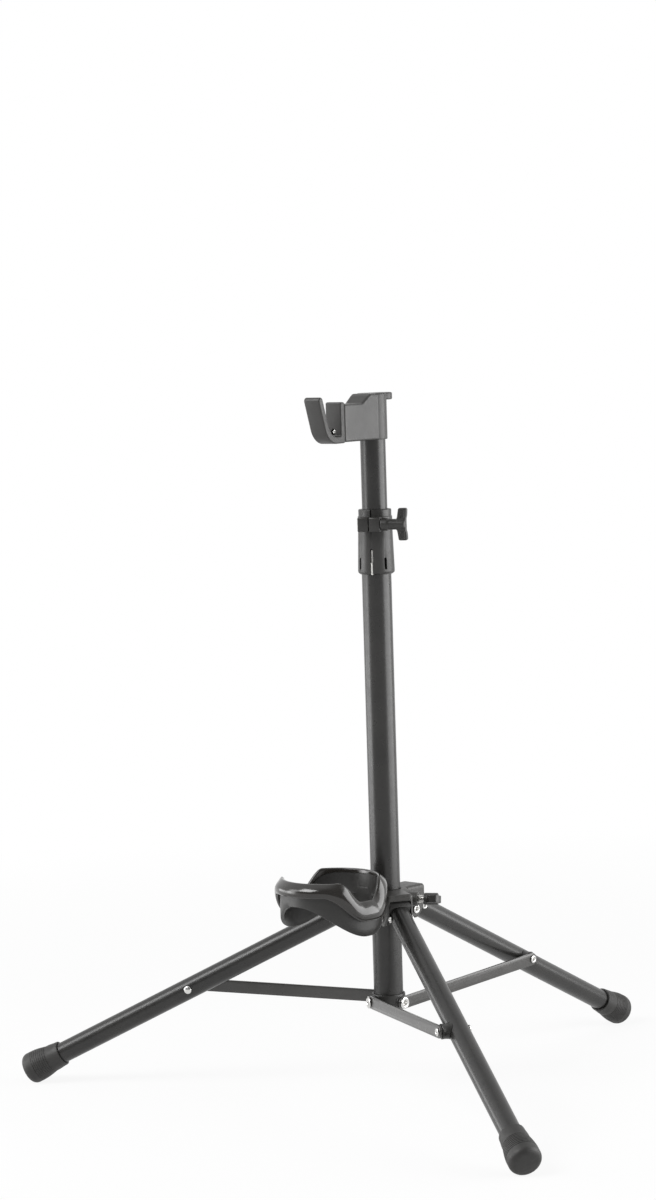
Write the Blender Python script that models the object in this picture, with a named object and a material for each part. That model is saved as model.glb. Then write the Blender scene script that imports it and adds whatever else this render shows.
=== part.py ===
"""Folding tripod stand for a tenor horn, piece by piece at its real size (metres, +Z up).

The column stands upright. Three legs hang from a hub that slides on it, and three flat struts
tie the legs to a collar at its foot. A saddle-shaped cradle on the hub takes the horn's bow.
A thinner tube slides in a clamp on top and carries the head with its hook.
"""

import math

import bmesh
import bpy
from mathutils import Matrix, Vector

MM = 0.001

# Clearances
GAP = 0.3 * MM  # between pieces that touch
SLIDE = 0.3 * MM  # round a tube that slides
PIN_GAP = 0.3 * MM  # round a rivet or a screw

# Column and upper tube
COLUMN_R = 14.0 * MM
COLUMN_WALL = 1.3 * MM
COLUMN_TOP = 544.5 * MM
UPPER_R = 12.0 * MM
UPPER_WALL = 1.2 * MM
UPPER_LENGTH = 320.0 * MM
UPPER_INSIDE = 204.5 * MM  # of the upper tube, inside the column
GLIDE_HEAD = 8.0 * MM
GLIDE_SPIGOT = 12.0 * MM

# Collar at the foot of the column
STRUT_PIN_Z = 85.1 * MM
COLLAR_BELOW_PIN = 6.7 * MM
COLLAR_ABOVE_PIN = 8.0 * MM
COLLAR_WALL = 1.6 * MM
COLLAR_FLOOR = 2.0 * MM
COLLAR_BOSS_R = 6.5 * MM
COLLAR_BOSS_RISE = 0.6 * MM

# Legs
LEG_SIDES = ("rear", "left", "front")  # a third of a turn apart, the first one at the back
LEG_ANGLES = {side: 90.0 + 360.0 * turn / len(LEG_SIDES) for turn, side in enumerate(LEG_SIDES)}
LEG_TILT = math.radians(26.7)  # below the horizontal
LEG_R = 10.0 * MM
LEG_WALL = 1.2 * MM
LEG_START = 9.0 * MM  # from the pivot, along the leg
LEG_AXIS_RISE = 7.6 * MM  # tube axis above the pivot
PIVOT_RADIUS = 28.0 * MM  # pivot from the column's axis
FOOT_END = 371.3 * MM  # from the pivot, along the leg
FOOT_LENGTH = 41.0 * MM
FOOT_BORE_DEPTH = 28.0 * MM
FOOT_MOUTH_R = 12.1 * MM
FOOT_WAIST_R = 13.0 * MM
FOOT_BULB_R = 15.4 * MM
FOOT_TOE_R = 6.4 * MM  # rounding of its end
FOOT_SWELL = (13.0 * MM, 29.5 * MM)  # from the mouth, where it widens from waist to bulb
FOOT_FLAT = 0.5 * MM  # pressed flat where it meets the floor

# Hinge plug in the leg
PLUG_LENGTH = 24.0 * MM
PLUG_NOSE_R = 7.5 * MM
PLUG_STOP = (6.0 * MM, 14.5 * MM)  # stretch that rests under the hub's cap, out from the pivot
PLUG_RIVET_AT = 13.8 * MM

# Struts
STRUT_WIDTH = 12.0 * MM
STRUT_THICK = 2.5 * MM
STRUT_PIN_ON_LEG = 183.6 * MM  # from the pivot, along the leg
SPACER_R = 6.8 * MM

# Rivets
SMALL_RIVET_R = 2.5 * MM
STRUT_RIVET_HEAD_R = 3.8 * MM
COLLAR_RIVET_HEAD_R = 5.8 * MM
PIVOT_RIVET_R = 2.6 * MM
PIVOT_RIVET_HEAD_R = 4.3 * MM
PLUG_RIVET_R = 2.0 * MM
PLUG_RIVET_HEAD_R = 3.2 * MM
RIVET_HEAD = 1.5 * MM
RIVET_HOLLOW = 0.9 * MM

# Hub that slides on the column
HUB_SLEEVE_R = 19.0 * MM
HUB_CAP_R = 21.0 * MM
HUB_CAP_THICK = 6.6 * MM
HUB_CAP_ABOVE_PIVOT = 23.0 * MM
HUB_SLEEVE_BELOW_PIVOT = 7.0 * MM
HUB_LOBE_BEYOND_PIVOT = 14.5 * MM
HUB_EDGE = 2.4 * MM
EAR_THICK = 2.7 * MM
EAR_R = 8.5 * MM
EAR_DROP_ABOVE_PIVOT = 4.7 * MM
HUB_SCREW_ANGLE = math.radians(30.0)
HUB_SCREW_R = 4.0 * MM
HUB_SCREW_ABOVE_PIVOT = 12.8 * MM
HUB_BOSS_R = 7.0 * MM
HUB_BOSS_END = 31.5 * MM
HUB_WING_START = 37.3 * MM
HUB_WING_NECK = 4.4 * MM
HUB_WING_LENGTH = 9.8 * MM
HUB_WING_SPAN = 25.0 * MM
HUB_WING_THICK = 6.4 * MM
HUB_WING_TURN = math.radians(-10.0)
HUB_WING_BARREL_R = 5.9 * MM
HUB_WING_HOLLOW = 0.0 * MM  # barrel's end below the wings' ends
HUB_TONGUE_WIDTH = 24.0 * MM
HUB_TONGUE_DEPTH = 21.0 * MM

# Cradle
CRADLE_BACK = 29.0 * MM  # rear face, in front of the column's axis
CRADLE_R = 48.0 * MM
CRADLE_WALL = 3.5 * MM
CRADLE_TAB_THICK = 4.0 * MM
CRADLE_BOTTOM_LOW = -28.7 * MM  # these heights are above the hub's top
CRADLE_BOTTOM_HIGH = 0.3 * MM
LIP_TOP_LOW = 4.1 * MM
LIP_TOP_HIGH = 23.1 * MM
LIP_HEM_LOW = -14.1 * MM
LIP_HEM_HIGH = 9.8 * MM
LIP_FLARE = 4.7 * MM
LIP_CAP = 5.0 * MM
BOTTOM_RISE = (4.0, 86.0)  # degrees from a dip where each edge starts and ends to rise
HEM_RISE = (10.0, 56.0)
TOP_RISE = (9.0, 38.0)
CRADLE_SCREW_R = 2.0 * MM
CRADLE_SCREW_HEAD_R = 3.8 * MM
CRADLE_SCREW_SPREAD = 7.0 * MM
CRADLE_STEPS = 44

# Height clamp
CLAMP_SKIRT = 50.0 * MM  # below the column's top
CLAMP_TOP_RING = 11.3 * MM  # above the column's top
CLAMP_STEP = 4.7 * MM  # lower edge of the top ring, above the column's top
CLAMP_SKIRT_R = 17.4 * MM
CLAMP_BODY_R = 16.3 * MM
CLAMP_RING_R = 15.6 * MM
CLAMP_SPLIT = 1.2 * MM
CLAMP_SLOT_WIDTH = 2.6 * MM
CLAMP_SLOT_LOW = 4.8 * MM
CLAMP_SLOT_HIGH = 16.0 * MM
CLAMP_SLOT_TURN = math.radians(46.0)  # each way from the lugs
CLAMP_KEYWAY_WIDTH = 2.6 * MM
CLAMP_KEYWAY_HIGH = 24.5 * MM
CLAMP_KEY_HIGH = 11.6 * MM
CLAMP_KEY_SUNK = 0.5 * MM
LUG_ANGLE = math.radians(-63.0)
LUG_REACH = 25.5 * MM
LUG_WIDTH = 10.4 * MM
LUG_HEIGHT = 13.6 * MM
CLAMP_SCREW_RADIUS = 20.3 * MM  # screw axis from the column's axis
CLAMP_SCREW_BELOW = 2.1 * MM  # below the column's top
CLAMP_SCREW_R = 2.9 * MM
CLAMP_NUT_FLAT = 9.0 * MM
CLAMP_NUT_THICK = 3.6 * MM
CLAMP_BOSS_R = 4.8 * MM
CLAMP_BOSS_LENGTH = 15.6 * MM
CLAMP_BOSS_FOOT_R = 6.2 * MM
CLAMP_BOSS_FOOT = 7.6 * MM
CLAMP_WING_SPAN = 30.5 * MM
CLAMP_WING_LENGTH = 9.6 * MM
CLAMP_WING_THICK = 6.0 * MM
CLAMP_WING_HOLLOW = 2.0 * MM

# Head with arm and mouthpiece holder
HEAD_TURN = math.radians(10.0)  # the head as it was left, turned on the column
HEAD_R = 14.1 * MM
HEAD_LENGTH = 43.8 * MM
HEAD_ROOF = 5.0 * MM  # over the end of the upper tube
ARM_SHOULDER = 18.0 * MM
ARM_DROP = 8.5 * MM
ARM_END = 61.5 * MM
ARM_ROOT_HALF = 12.0 * MM
ARM_END_HALF = 8.4 * MM
HOLDER_AT = 18.2 * MM
HOLDER_R = 10.0 * MM
HOLDER_BORE_R = 4.7 * MM
HOLDER_THICK = 7.0 * MM

# Hook
HOOK_WIDTH = 17.2 * MM
HOOK_WALL = 6.7 * MM
HOOK_GAP = 21.7 * MM
HOOK_BEND_R = 14.3 * MM  # inside
HOOK_CORNER_R = 1.5 * MM
HOOK_LEAN = math.radians(20.0)
HOOK_BELOW_HEAD = 0.6 * MM  # its underside, below the head's
HOOK_TIP_BELOW = 0.6 * MM  # its tip, below the head's top
HOOK_WALL_BELOW = 6.3 * MM  # top of its wall, below the head's top
HOOK_SCREW_ABOVE_FLOOR = 4.0 * MM
HOOK_SCREW_R = 1.6 * MM
HOOK_SCREW_HEAD_R = 2.5 * MM
HOOK_SCREW_LENGTH = 18.0 * MM

ROUND = 26  # sides of a tube
SMALL_ROUND = 10  # sides of a rivet


def clear_scene():
    for old in list(bpy.data.objects):
        bpy.data.objects.remove(old, do_unlink=True)


def material(name, colour, roughness, metallic):
    """A Principled material."""
    made = bpy.data.materials.new(name)
    made.use_nodes = True
    made.diffuse_color = (*colour, 1.0)
    shader = made.node_tree.nodes["Principled BSDF"]
    shader.inputs["Base Color"].default_value = (*colour, 1.0)
    shader.inputs["Roughness"].default_value = roughness
    shader.inputs["Metallic"].default_value = metallic
    return made


def empty(name, location, rotation=(0.0, 0.0, 0.0), parent=None):
    """A frame that pieces are placed in, such as a joint's axis."""
    made = bpy.data.objects.new(name, None)
    made.empty_display_size = 0.02
    made.location = location
    made.rotation_euler = rotation
    made.parent = parent
    bpy.context.scene.collection.objects.link(made)
    return made


def piece(name, mesh, surface, parent, location=(0.0, 0.0, 0.0), rotation=(0.0, 0.0, 0.0)):
    """One sub-part of the stand."""
    made = bpy.data.objects.new(name, mesh)
    made.location = location
    made.rotation_euler = rotation
    made.parent = parent
    if not mesh.materials:
        mesh.materials.append(surface)
    bpy.context.scene.collection.objects.link(made)
    return made


def tool(name, mesh, parent, location=(0.0, 0.0, 0.0), rotation=(0.0, 0.0, 0.0)):
    """A hidden shape that a Boolean cuts with or adds."""
    made = bpy.data.objects.new(name, mesh)
    made.location = location
    made.rotation_euler = rotation
    made.parent = parent
    made.hide_render = True
    made.display_type = "WIRE"
    bpy.context.scene.collection.objects.link(made)
    return made


def boolean(target, other, operation):
    step = target.modifiers.new(other.name, "BOOLEAN")
    step.operation = operation
    step.object = other
    step.solver = "EXACT"


def cut(target, other):
    boolean(target, other, "DIFFERENCE")


def join(target, other):
    boolean(target, other, "UNION")


def soften(target, width, segments=2):
    """Rounds the sharp edges of a moulded piece."""
    step = target.modifiers.new("soft_edges", "BEVEL")
    step.width = width
    step.segments = segments
    step.limit_method = "ANGLE"
    step.angle_limit = math.radians(40.0)


def finish_mesh(name, shape, smooth=True):
    bmesh.ops.recalc_face_normals(shape, faces=shape.faces)
    mesh = bpy.data.meshes.new(name)
    shape.to_mesh(mesh)
    shape.free()
    if smooth:
        mesh.shade_smooth()
        mesh.set_sharp_from_angle(angle=math.radians(40.0))
    return mesh


def lathe(name, profile, sides=ROUND):
    """Turns a profile of (radius, height) points about +Z. Off the axis, it closes on itself."""
    shape = bmesh.new()
    points = [shape.verts.new((radius, 0.0, height)) for radius, height in profile]
    edges = [shape.edges.new(pair) for pair in zip(points, points[1:])]
    if profile[0][0] > 0.0 or profile[-1][0] > 0.0:
        edges.append(shape.edges.new((points[-1], points[0])))
    bmesh.ops.spin(
        shape,
        geom=points + edges,
        cent=(0.0, 0.0, 0.0),
        axis=(0.0, 0.0, 1.0),
        angle=math.tau,
        steps=sides,
        use_merge=True,
    )
    bmesh.ops.remove_doubles(shape, verts=shape.verts, dist=0.002 * MM)
    return finish_mesh(name, shape)


def prism(name, outline, depth):
    """Raises an outline of (x, y) points by depth along +Z."""
    shape = bmesh.new()
    face = shape.faces.new([shape.verts.new((x, y, 0.0)) for x, y in outline])
    raised = bmesh.ops.extrude_face_region(shape, geom=[face])["geom"]
    lifted = [part for part in raised if isinstance(part, bmesh.types.BMVert)]
    bmesh.ops.translate(shape, verts=lifted, vec=(0.0, 0.0, depth))
    return finish_mesh(name, shape)


def block(name, low, high):
    """A box between two corners."""
    x0, y0, z0 = low
    x1, y1, z1 = high
    mesh = prism(name, [(x0, y0), (x1, y0), (x1, y1), (x0, y1)], z1 - z0)
    mesh.transform(Matrix.Translation((0.0, 0.0, z0)))
    return mesh


def rod(name, radius, start, end, sides=SMALL_ROUND):
    """A solid cylinder about +Z."""
    return lathe(name, [(0.0, start), (radius, start), (radius, end), (0.0, end)], sides)


def tube(name, outer, inner, start, end, sides=ROUND):
    """A hollow cylinder about +Z."""
    return lathe(name, [(outer, start), (outer, end), (inner, end), (inner, start)], sides)


def arc(centre, radius, start, end, steps):
    """Points on an arc, its angles in degrees."""
    found = []
    for step in range(steps + 1):
        angle = math.radians(start + (end - start) * step / steps)
        found.append((centre[0] + radius * math.cos(angle), centre[1] + radius * math.sin(angle)))
    return found


def rivet_head(radius, height, hollow):
    """Profile of a rolled rivet head from its axis to its rim, its underside at height 0."""
    return [
        (0.0, height - hollow),
        (0.35 * radius, height - hollow),
        (0.5 * radius, height),
        (0.8 * radius, height),
        (radius, 0.0),
    ]


def rivet(name, head_r, shank_r, length, head=RIVET_HEAD, hollow=RIVET_HOLLOW):
    """A rivet about +Z, its head above 0 and its shank below."""
    profile = rivet_head(head_r, head, hollow)
    profile += [(shank_r, 0.0), (shank_r, -length), (0.0, -length)]
    return lathe(name, profile, SMALL_ROUND)


def through_rivet(name, head_r, shank_r, grip):
    """A rivet about +Z with a head at each end, its middle at 0."""
    upper = [(r, z + grip / 2) for r, z in rivet_head(head_r, RIVET_HEAD, RIVET_HOLLOW)]
    lower = [(r, -z) for r, z in reversed(upper)]
    shank = [(shank_r, grip / 2), (shank_r, -grip / 2)]
    return lathe(name, upper + shank + lower, SMALL_ROUND)


def smooth_step(value, start, end):
    share = min(max((value - start) / (end - start), 0.0), 1.0)
    return share * share * (3.0 - 2.0 * share)


clear_scene()

BLACK_PAINT = material("black_paint", (0.030, 0.029, 0.027), 0.38, 0.35)
STRUT_PAINT = material("strut_paint", (0.055, 0.053, 0.049), 0.42, 0.35)
BLACK_PLASTIC = material("black_plastic", (0.040, 0.039, 0.037), 0.48, 0.0)
GREY_PLASTIC = material("grey_plastic", (0.075, 0.072, 0.067), 0.50, 0.0)
PALE_PLASTIC = material("pale_plastic", (0.70, 0.69, 0.66), 0.40, 0.0)
GLOSSY_LIP = material("glossy_lip", (0.035, 0.030, 0.026), 0.22, 0.0)
RUBBER = material("rubber", (0.042, 0.041, 0.038), 0.70, 0.0)
CHROME = material("chrome", (0.72, 0.72, 0.72), 0.16, 1.0)

# Foot profile along the leg, from its mouth: how far, and how wide
FOOT_START = FOOT_END - FOOT_LENGTH


def foot_outline():
    """Outer profile of a foot cap as (radius, distance from the mouth)."""
    swell_start, swell_end = FOOT_SWELL
    points = [
        (FOOT_MOUTH_R - 0.5 * MM, 0.0),
        (FOOT_MOUTH_R, 0.6 * MM),
        (FOOT_MOUTH_R + 0.1 * MM, 2.4 * MM),
        (FOOT_WAIST_R - 0.3 * MM, 7.0 * MM),
        (FOOT_WAIST_R, swell_start),
    ]
    for step in (1, 2, 3, 4):
        radius = FOOT_WAIST_R + (FOOT_BULB_R - FOOT_WAIST_R) * math.sin(math.pi * step / 8)
        points.append((radius, swell_start + (swell_end - swell_start) * step / 4))
    toe = (FOOT_BULB_R - FOOT_TOE_R, FOOT_LENGTH - 0.8 * MM - FOOT_TOE_R)
    points += arc(toe, FOOT_TOE_R, 0.0, 90.0, 5)
    points.append((0.0, FOOT_LENGTH))
    return points


# Heights that follow from a foot resting on the floor
PIVOT_Z = (
    max(
        (FOOT_START + along) * math.sin(LEG_TILT) + (radius - LEG_AXIS_RISE) * math.cos(LEG_TILT)
        for radius, along in foot_outline()
    )
    - FOOT_FLAT
)
HUB_TOP = PIVOT_Z + HUB_CAP_ABOVE_PIVOT
CAP_UNDERSIDE = HUB_TOP - HUB_CAP_THICK
TONGUE_BOTTOM = HUB_TOP - HUB_TONGUE_DEPTH

# Strut sizes that follow from its two pins
LEG_PIN_REACH = (
    PIVOT_RADIUS
    + STRUT_PIN_ON_LEG * math.cos(LEG_TILT)
    + LEG_AXIS_RISE * math.sin(LEG_TILT)
)
LEG_PIN_Z = (
    PIVOT_Z - STRUT_PIN_ON_LEG * math.sin(LEG_TILT) + LEG_AXIS_RISE * math.cos(LEG_TILT)
)
STRUT_LENGTH = math.hypot(LEG_PIN_REACH, LEG_PIN_Z - STRUT_PIN_Z)
STRUT_TILT = math.atan2(LEG_PIN_Z - STRUT_PIN_Z, LEG_PIN_REACH)
COLLAR_R = COLUMN_R + GAP + COLLAR_WALL
COLLAR_FLAT = COLLAR_R + COLLAR_BOSS_RISE
STRUT_INNER = COLLAR_FLAT + GAP  # side of the strut that faces the leg
STRUT_OUTER = STRUT_INNER + STRUT_THICK

# Ears and the leg's hinge plug between them
EAR_INNER = LEG_R + 0.5 * MM
EAR_OUTER = EAR_INNER + EAR_THICK

# Heights of the upper tube, the head and the hook
UPPER_BOTTOM = COLUMN_TOP - UPPER_INSIDE
UPPER_TOP = UPPER_BOTTOM + UPPER_LENGTH
HEAD_TOP = UPPER_TOP + GAP + HEAD_ROOF
HEAD_BOTTOM = HEAD_TOP - HEAD_LENGTH
HOOK_BOTTOM = HEAD_BOTTOM - HOOK_BELOW_HEAD
HOOK_TIP = HEAD_TOP - HOOK_TIP_BELOW
HOOK_WALL_TOP = HEAD_TOP - HOOK_WALL_BELOW

# Clamp heights
CLAMP_TOP = COLUMN_TOP + CLAMP_TOP_RING
CLAMP_BOTTOM = COLUMN_TOP - CLAMP_SKIRT
CLAMP_SCREW_Z = COLUMN_TOP - CLAMP_SCREW_BELOW
LUG_FACE = LUG_WIDTH + CLAMP_SPLIT / 2

# Cradle attachment
CRADLE_CENTRE = CRADLE_BACK + CRADLE_R
TONGUE_FACE = CRADLE_BACK - GAP
CRADLE_SCREW_Z = (TONGUE_BOTTOM + CAP_UNDERSIDE) / 2


def foot_reach(direction_cosine):
    """How far a foot reaches from the column's axis, in a direction whose cosine with the leg's
    plan direction is given."""
    lean = math.cos(LEG_TILT) * direction_cosine
    found = []
    for radius, along in foot_outline():
        axis_radius = (
            PIVOT_RADIUS
            + (FOOT_START + along) * math.cos(LEG_TILT)
            + LEG_AXIS_RISE * math.sin(LEG_TILT)
        )
        found.append(axis_radius * direction_cosine + radius * math.sqrt(1.0 - lean * lean))
    return max(found)


# The origin is under the middle of the stand's bounding box, and the column stands in front of it
COLUMN_Y = -(foot_reach(1.0) - foot_reach(math.cos(math.radians(60.0)))) / 2
column = empty("column_axis", (0.0, COLUMN_Y, 0.0))

# Column
lower_tube = piece(
    "lower_tube",
    tube(
        "lower_tube",
        COLUMN_R,
        COLUMN_R - COLUMN_WALL,
        STRUT_PIN_Z - COLLAR_BELOW_PIN + COLLAR_FLOOR + GAP,
        COLUMN_TOP,
    ),
    BLACK_PAINT,
    column,
)

# Collar: a cup on the column's foot, with a flat boss for each strut
collar_low = STRUT_PIN_Z - COLLAR_BELOW_PIN
collar_high = STRUT_PIN_Z + COLLAR_ABOVE_PIN
base_collar = piece(
    "base_collar",
    lathe(
        "base_collar",
        [
            (0.0, collar_low),
            (COLLAR_R - 1.0 * MM, collar_low),
            (COLLAR_R, collar_low + 1.0 * MM),
            (COLLAR_R, collar_high - 0.6 * MM),
            (COLLAR_R - 0.6 * MM, collar_high),
            (COLUMN_R + GAP, collar_high),
            (COLUMN_R + GAP, collar_low + COLLAR_FLOOR),
            (0.0, collar_low + COLLAR_FLOOR),
        ],
    ),
    BLACK_PLASTIC,
    column,
)
strut_frames = {}
for side, angle in LEG_ANGLES.items():
    strut_frames[side] = empty(
        "strut_pivot_" + side,
        (0.0, 0.0, STRUT_PIN_Z),
        (0.0, -STRUT_TILT, math.radians(angle)),
        column,
    )
    boss = tool(
        "collar_boss_" + side,
        rod("collar_boss", COLLAR_BOSS_R, COLUMN_R + 2 * GAP, COLLAR_FLAT, 24),
        strut_frames[side],
        rotation=(math.radians(90.0), 0.0, 0.0),
    )
    join(base_collar, boss)
for side in LEG_ANGLES:
    hole = tool(
        "collar_hole_" + side,
        rod("collar_hole", SMALL_RIVET_R + PIN_GAP, COLUMN_R - 4 * MM, COLLAR_FLAT + MM),
        strut_frames[side],
        rotation=(math.radians(90.0), 0.0, 0.0),
    )
    cut(base_collar, hole)
    cut(lower_tube, hole)


def leg_parts(side, angle):
    """One leg with its foot, hinge plug, bush and rivets, about the pivot in the hub's ears."""
    turn = math.radians(angle)
    pivot = empty(
        "leg_pivot_" + side,
        (PIVOT_RADIUS * math.cos(turn), PIVOT_RADIUS * math.sin(turn), PIVOT_Z),
        (0.0, LEG_TILT, turn),
        column,
    )
    along = (0.0, math.radians(90.0), 0.0)
    across = (math.radians(90.0), 0.0, 0.0)
    across_back = (math.radians(-90.0), 0.0, 0.0)
    leg_end = FOOT_START + FOOT_BORE_DEPTH - GAP
    leg_tube = piece(
        "leg_tube_" + side,
        tube("leg_tube", LEG_R, LEG_R - LEG_WALL, LEG_START, leg_end, 28),
        BLACK_PAINT,
        pivot,
        (0.0, 0.0, LEG_AXIS_RISE),
        along,
    )

    # Hinge plug: a spigot in the tube, and a nose that swings between the ears
    plug = piece(
        "leg_plug_" + side,
        rod(
            "leg_plug",
            LEG_R - LEG_WALL - GAP,
            LEG_START - 2 * MM,
            LEG_START + PLUG_LENGTH,
            20,
        ),
        BLACK_PLASTIC,
        pivot,
        (0.0, 0.0, LEG_AXIS_RISE),
        along,
    )
    shoulder = LEG_START - GAP
    stop_height = HUB_CAP_ABOVE_PIVOT - HUB_CAP_THICK - GAP
    nose_outline = arc((0.0, 0.0), PLUG_NOSE_R, 110.0, 300.0, 9) + [
        (shoulder, LEG_AXIS_RISE - LEG_R),
        (shoulder, LEG_AXIS_RISE + LEG_R),
    ]
    for out in reversed(PLUG_STOP):
        nose_outline.append(
            (
                out * math.cos(LEG_TILT) - stop_height * math.sin(LEG_TILT),
                out * math.sin(LEG_TILT) + stop_height * math.cos(LEG_TILT),
            )
        )
    nose = tool(
        "plug_nose_" + side,
        prism("plug_nose", nose_outline, 2 * (EAR_INNER - GAP)),
        pivot,
        (0.0, EAR_INNER - GAP, 0.0),
        across,
    )
    join(plug, nose)
    pivot_hole = tool(
        "plug_pivot_hole_" + side,
        rod("plug_pivot_hole", PIVOT_RIVET_R + PIN_GAP, -EAR_OUTER, EAR_OUTER),
        pivot,
        rotation=across,
    )
    cut(plug, pivot_hole)
    rivet_hole = tool(
        "plug_rivet_hole_" + side,
        rod("plug_rivet_hole", PLUG_RIVET_R + PIN_GAP, -2 * LEG_R, 2 * LEG_R),
        pivot,
        (PLUG_RIVET_AT, 0.0, LEG_AXIS_RISE),
        across,
    )
    cut(plug, rivet_hole)
    cut(leg_tube, rivet_hole)
    piece(
        "plug_rivet_" + side,
        through_rivet("plug_rivet", PLUG_RIVET_HEAD_R, PLUG_RIVET_R, 2 * LEG_R + GAP),
        CHROME,
        pivot,
        (PLUG_RIVET_AT, 0.0, LEG_AXIS_RISE),
        across,
    )

    # Strut's fixing: a rivet through the leg and its saddle bush, with a dome head on the far side
    strut_pin = (STRUT_PIN_ON_LEG, 0.0, LEG_AXIS_RISE)
    dome_r = STRUT_RIVET_HEAD_R
    bush_end = STRUT_INNER - GAP
    dome = lathe(
        "leg_rivet",
        [
            (0.0, 2.2 * MM),
            (0.5 * dome_r, 1.8 * MM),
            (0.85 * dome_r, 0.9 * MM),
            (dome_r, 0.1 * MM),
            (SMALL_RIVET_R, 0.1 * MM),
            (SMALL_RIVET_R, -(LEG_R + GAP + bush_end)),
            (0.0, -(LEG_R + GAP + bush_end)),
        ],
        SMALL_ROUND,
    )
    piece(
        "leg_rivet_" + side,
        dome,
        CHROME,
        pivot,
        (STRUT_PIN_ON_LEG, LEG_R + GAP, LEG_AXIS_RISE),
        across_back,
    )
    strut_pin_hole = tool(
        "leg_rivet_hole_" + side,
        rod("leg_rivet_hole", SMALL_RIVET_R + PIN_GAP, -1.5 * LEG_R, 1.5 * LEG_R),
        pivot,
        strut_pin,
        across_back,
    )
    cut(leg_tube, strut_pin_hole)
    bush = piece(
        "strut_spacer_" + side,
        tube("strut_spacer", SPACER_R, SMALL_RIVET_R + PIN_GAP, 0.65 * LEG_R, bush_end, 20),
        BLACK_PLASTIC,
        pivot,
        strut_pin,
        across,
    )
    saddle = tool(
        "bush_saddle_" + side,
        rod("bush_saddle", LEG_R + GAP, -2 * SPACER_R, 2 * SPACER_R, 28),
        pivot,
        strut_pin,
        along,
    )
    cut(bush, saddle)

    # Foot cap: turned profile with a bore, pressed flat on the floor
    bore_r = LEG_R + GAP
    profile = [
        (0.0, FOOT_BORE_DEPTH),
        (bore_r, FOOT_BORE_DEPTH),
        (bore_r, 0.0),
    ] + foot_outline()
    foot_mesh = lathe("foot_cap", profile, 18)
    placed = (
        Matrix.Translation((PIVOT_RADIUS, 0.0, PIVOT_Z))
        @ Matrix.Rotation(LEG_TILT, 4, "Y")
        @ Matrix.Translation((FOOT_START, 0.0, LEG_AXIS_RISE))
        @ Matrix.Rotation(math.radians(90.0), 4, "Y")
    )
    floor_point = placed.inverted() @ Vector((0.0, 0.0, 0.0))
    floor_up = placed.inverted().to_3x3() @ Vector((0.0, 0.0, 1.0))
    shape = bmesh.new()
    shape.from_mesh(foot_mesh)
    bmesh.ops.bisect_plane(
        shape,
        geom=shape.verts[:] + shape.edges[:] + shape.faces[:],
        plane_co=floor_point,
        plane_no=floor_up,
        clear_inner=True,
    )
    open_edges = [edge for edge in shape.edges if edge.is_boundary]
    bmesh.ops.holes_fill(shape, edges=open_edges)
    piece(
        "foot_cap_" + side,
        finish_mesh("foot_cap_flat", shape),
        RUBBER,
        pivot,
        (FOOT_START, 0.0, LEG_AXIS_RISE),
        along,
    )
    return pivot


def strut_parts(side):
    """One flat strut, with the rivets at its ends."""
    frame = strut_frames[side]
    half = STRUT_WIDTH / 2
    across = (math.radians(90.0), 0.0, 0.0)
    outline = arc((0.0, 0.0), half, 90.0, 270.0, 8)
    outline += arc((STRUT_LENGTH, 0.0), half, -90.0, 90.0, 8)
    strut = piece(
        "strut_" + side,
        prism("strut", outline, STRUT_THICK),
        STRUT_PAINT,
        frame,
        (0.0, -STRUT_INNER, 0.0),
        across,
    )
    for at, end in ((0.0, "inner"), (STRUT_LENGTH, "outer")):
        hole = tool(
            "strut_hole_" + end + "_" + side,
            rod("strut_hole", SMALL_RIVET_R + PIN_GAP, STRUT_INNER - MM, STRUT_OUTER + MM),
            frame,
            (at, 0.0, 0.0),
            across,
        )
        cut(strut, hole)
    piece(
        "collar_rivet_" + side,
        rivet(
            "collar_rivet",
            COLLAR_RIVET_HEAD_R,
            SMALL_RIVET_R,
            STRUT_OUTER + GAP - (COLUMN_R - COLUMN_WALL - MM),
            1.9 * MM,
        ),
        CHROME,
        frame,
        (0.0, -(STRUT_OUTER + GAP), 0.0),
        across,
    )
    piece(
        "strut_rivet_" + side,
        rivet("strut_rivet", STRUT_RIVET_HEAD_R, SMALL_RIVET_R, STRUT_THICK + GAP),
        CHROME,
        frame,
        (STRUT_LENGTH, -(STRUT_OUTER + GAP), 0.0),
        across,
    )


for side, angle in LEG_ANGLES.items():
    leg_parts(side, angle)
    strut_parts(side)


def rounded_ends(mesh, picks, width, segments):
    """Bevels the edges of a mesh that picks chooses from their two end points."""
    shape = bmesh.new()
    shape.from_mesh(mesh)
    chosen = [edge for edge in shape.edges if picks(edge.verts[0].co, edge.verts[1].co)]
    bmesh.ops.bevel(
        shape,
        geom=chosen,
        offset=width,
        segments=segments,
        profile=0.5,
        affect="EDGES",
        clamp_overlap=True,
    )
    return finish_mesh(mesh.name, shape)


def hub_lobe():
    """Side profile of a pair of ears and the cap over them, as thick as both ears and their gap."""
    inner = HUB_SLEEVE_R - 2 * MM - PIVOT_RADIUS
    outer = HUB_LOBE_BEYOND_PIVOT
    outline = [(inner, HUB_CAP_ABOVE_PIVOT), (inner, 0.0)]
    outline += arc((0.0, 0.0), EAR_R, 180.0, 330.0, 10)
    outline += [(outer, EAR_DROP_ABOVE_PIVOT), (outer, HUB_CAP_ABOVE_PIVOT)]
    mesh = prism("hub_lobe", outline, 2 * EAR_OUTER)
    tiny = 0.01 * MM

    def on_top_or_end(a, b):
        top = a.y > HUB_CAP_ABOVE_PIVOT - tiny and b.y > HUB_CAP_ABOVE_PIVOT - tiny
        end = a.x > outer - tiny and b.x > outer - tiny
        across = abs(a.z - b.z) > tiny
        inside = a.x < inner + tiny and b.x < inner + tiny
        return (top or (end and not across)) and not inside

    return rounded_ends(mesh, on_top_or_end, HUB_EDGE, 3)


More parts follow.
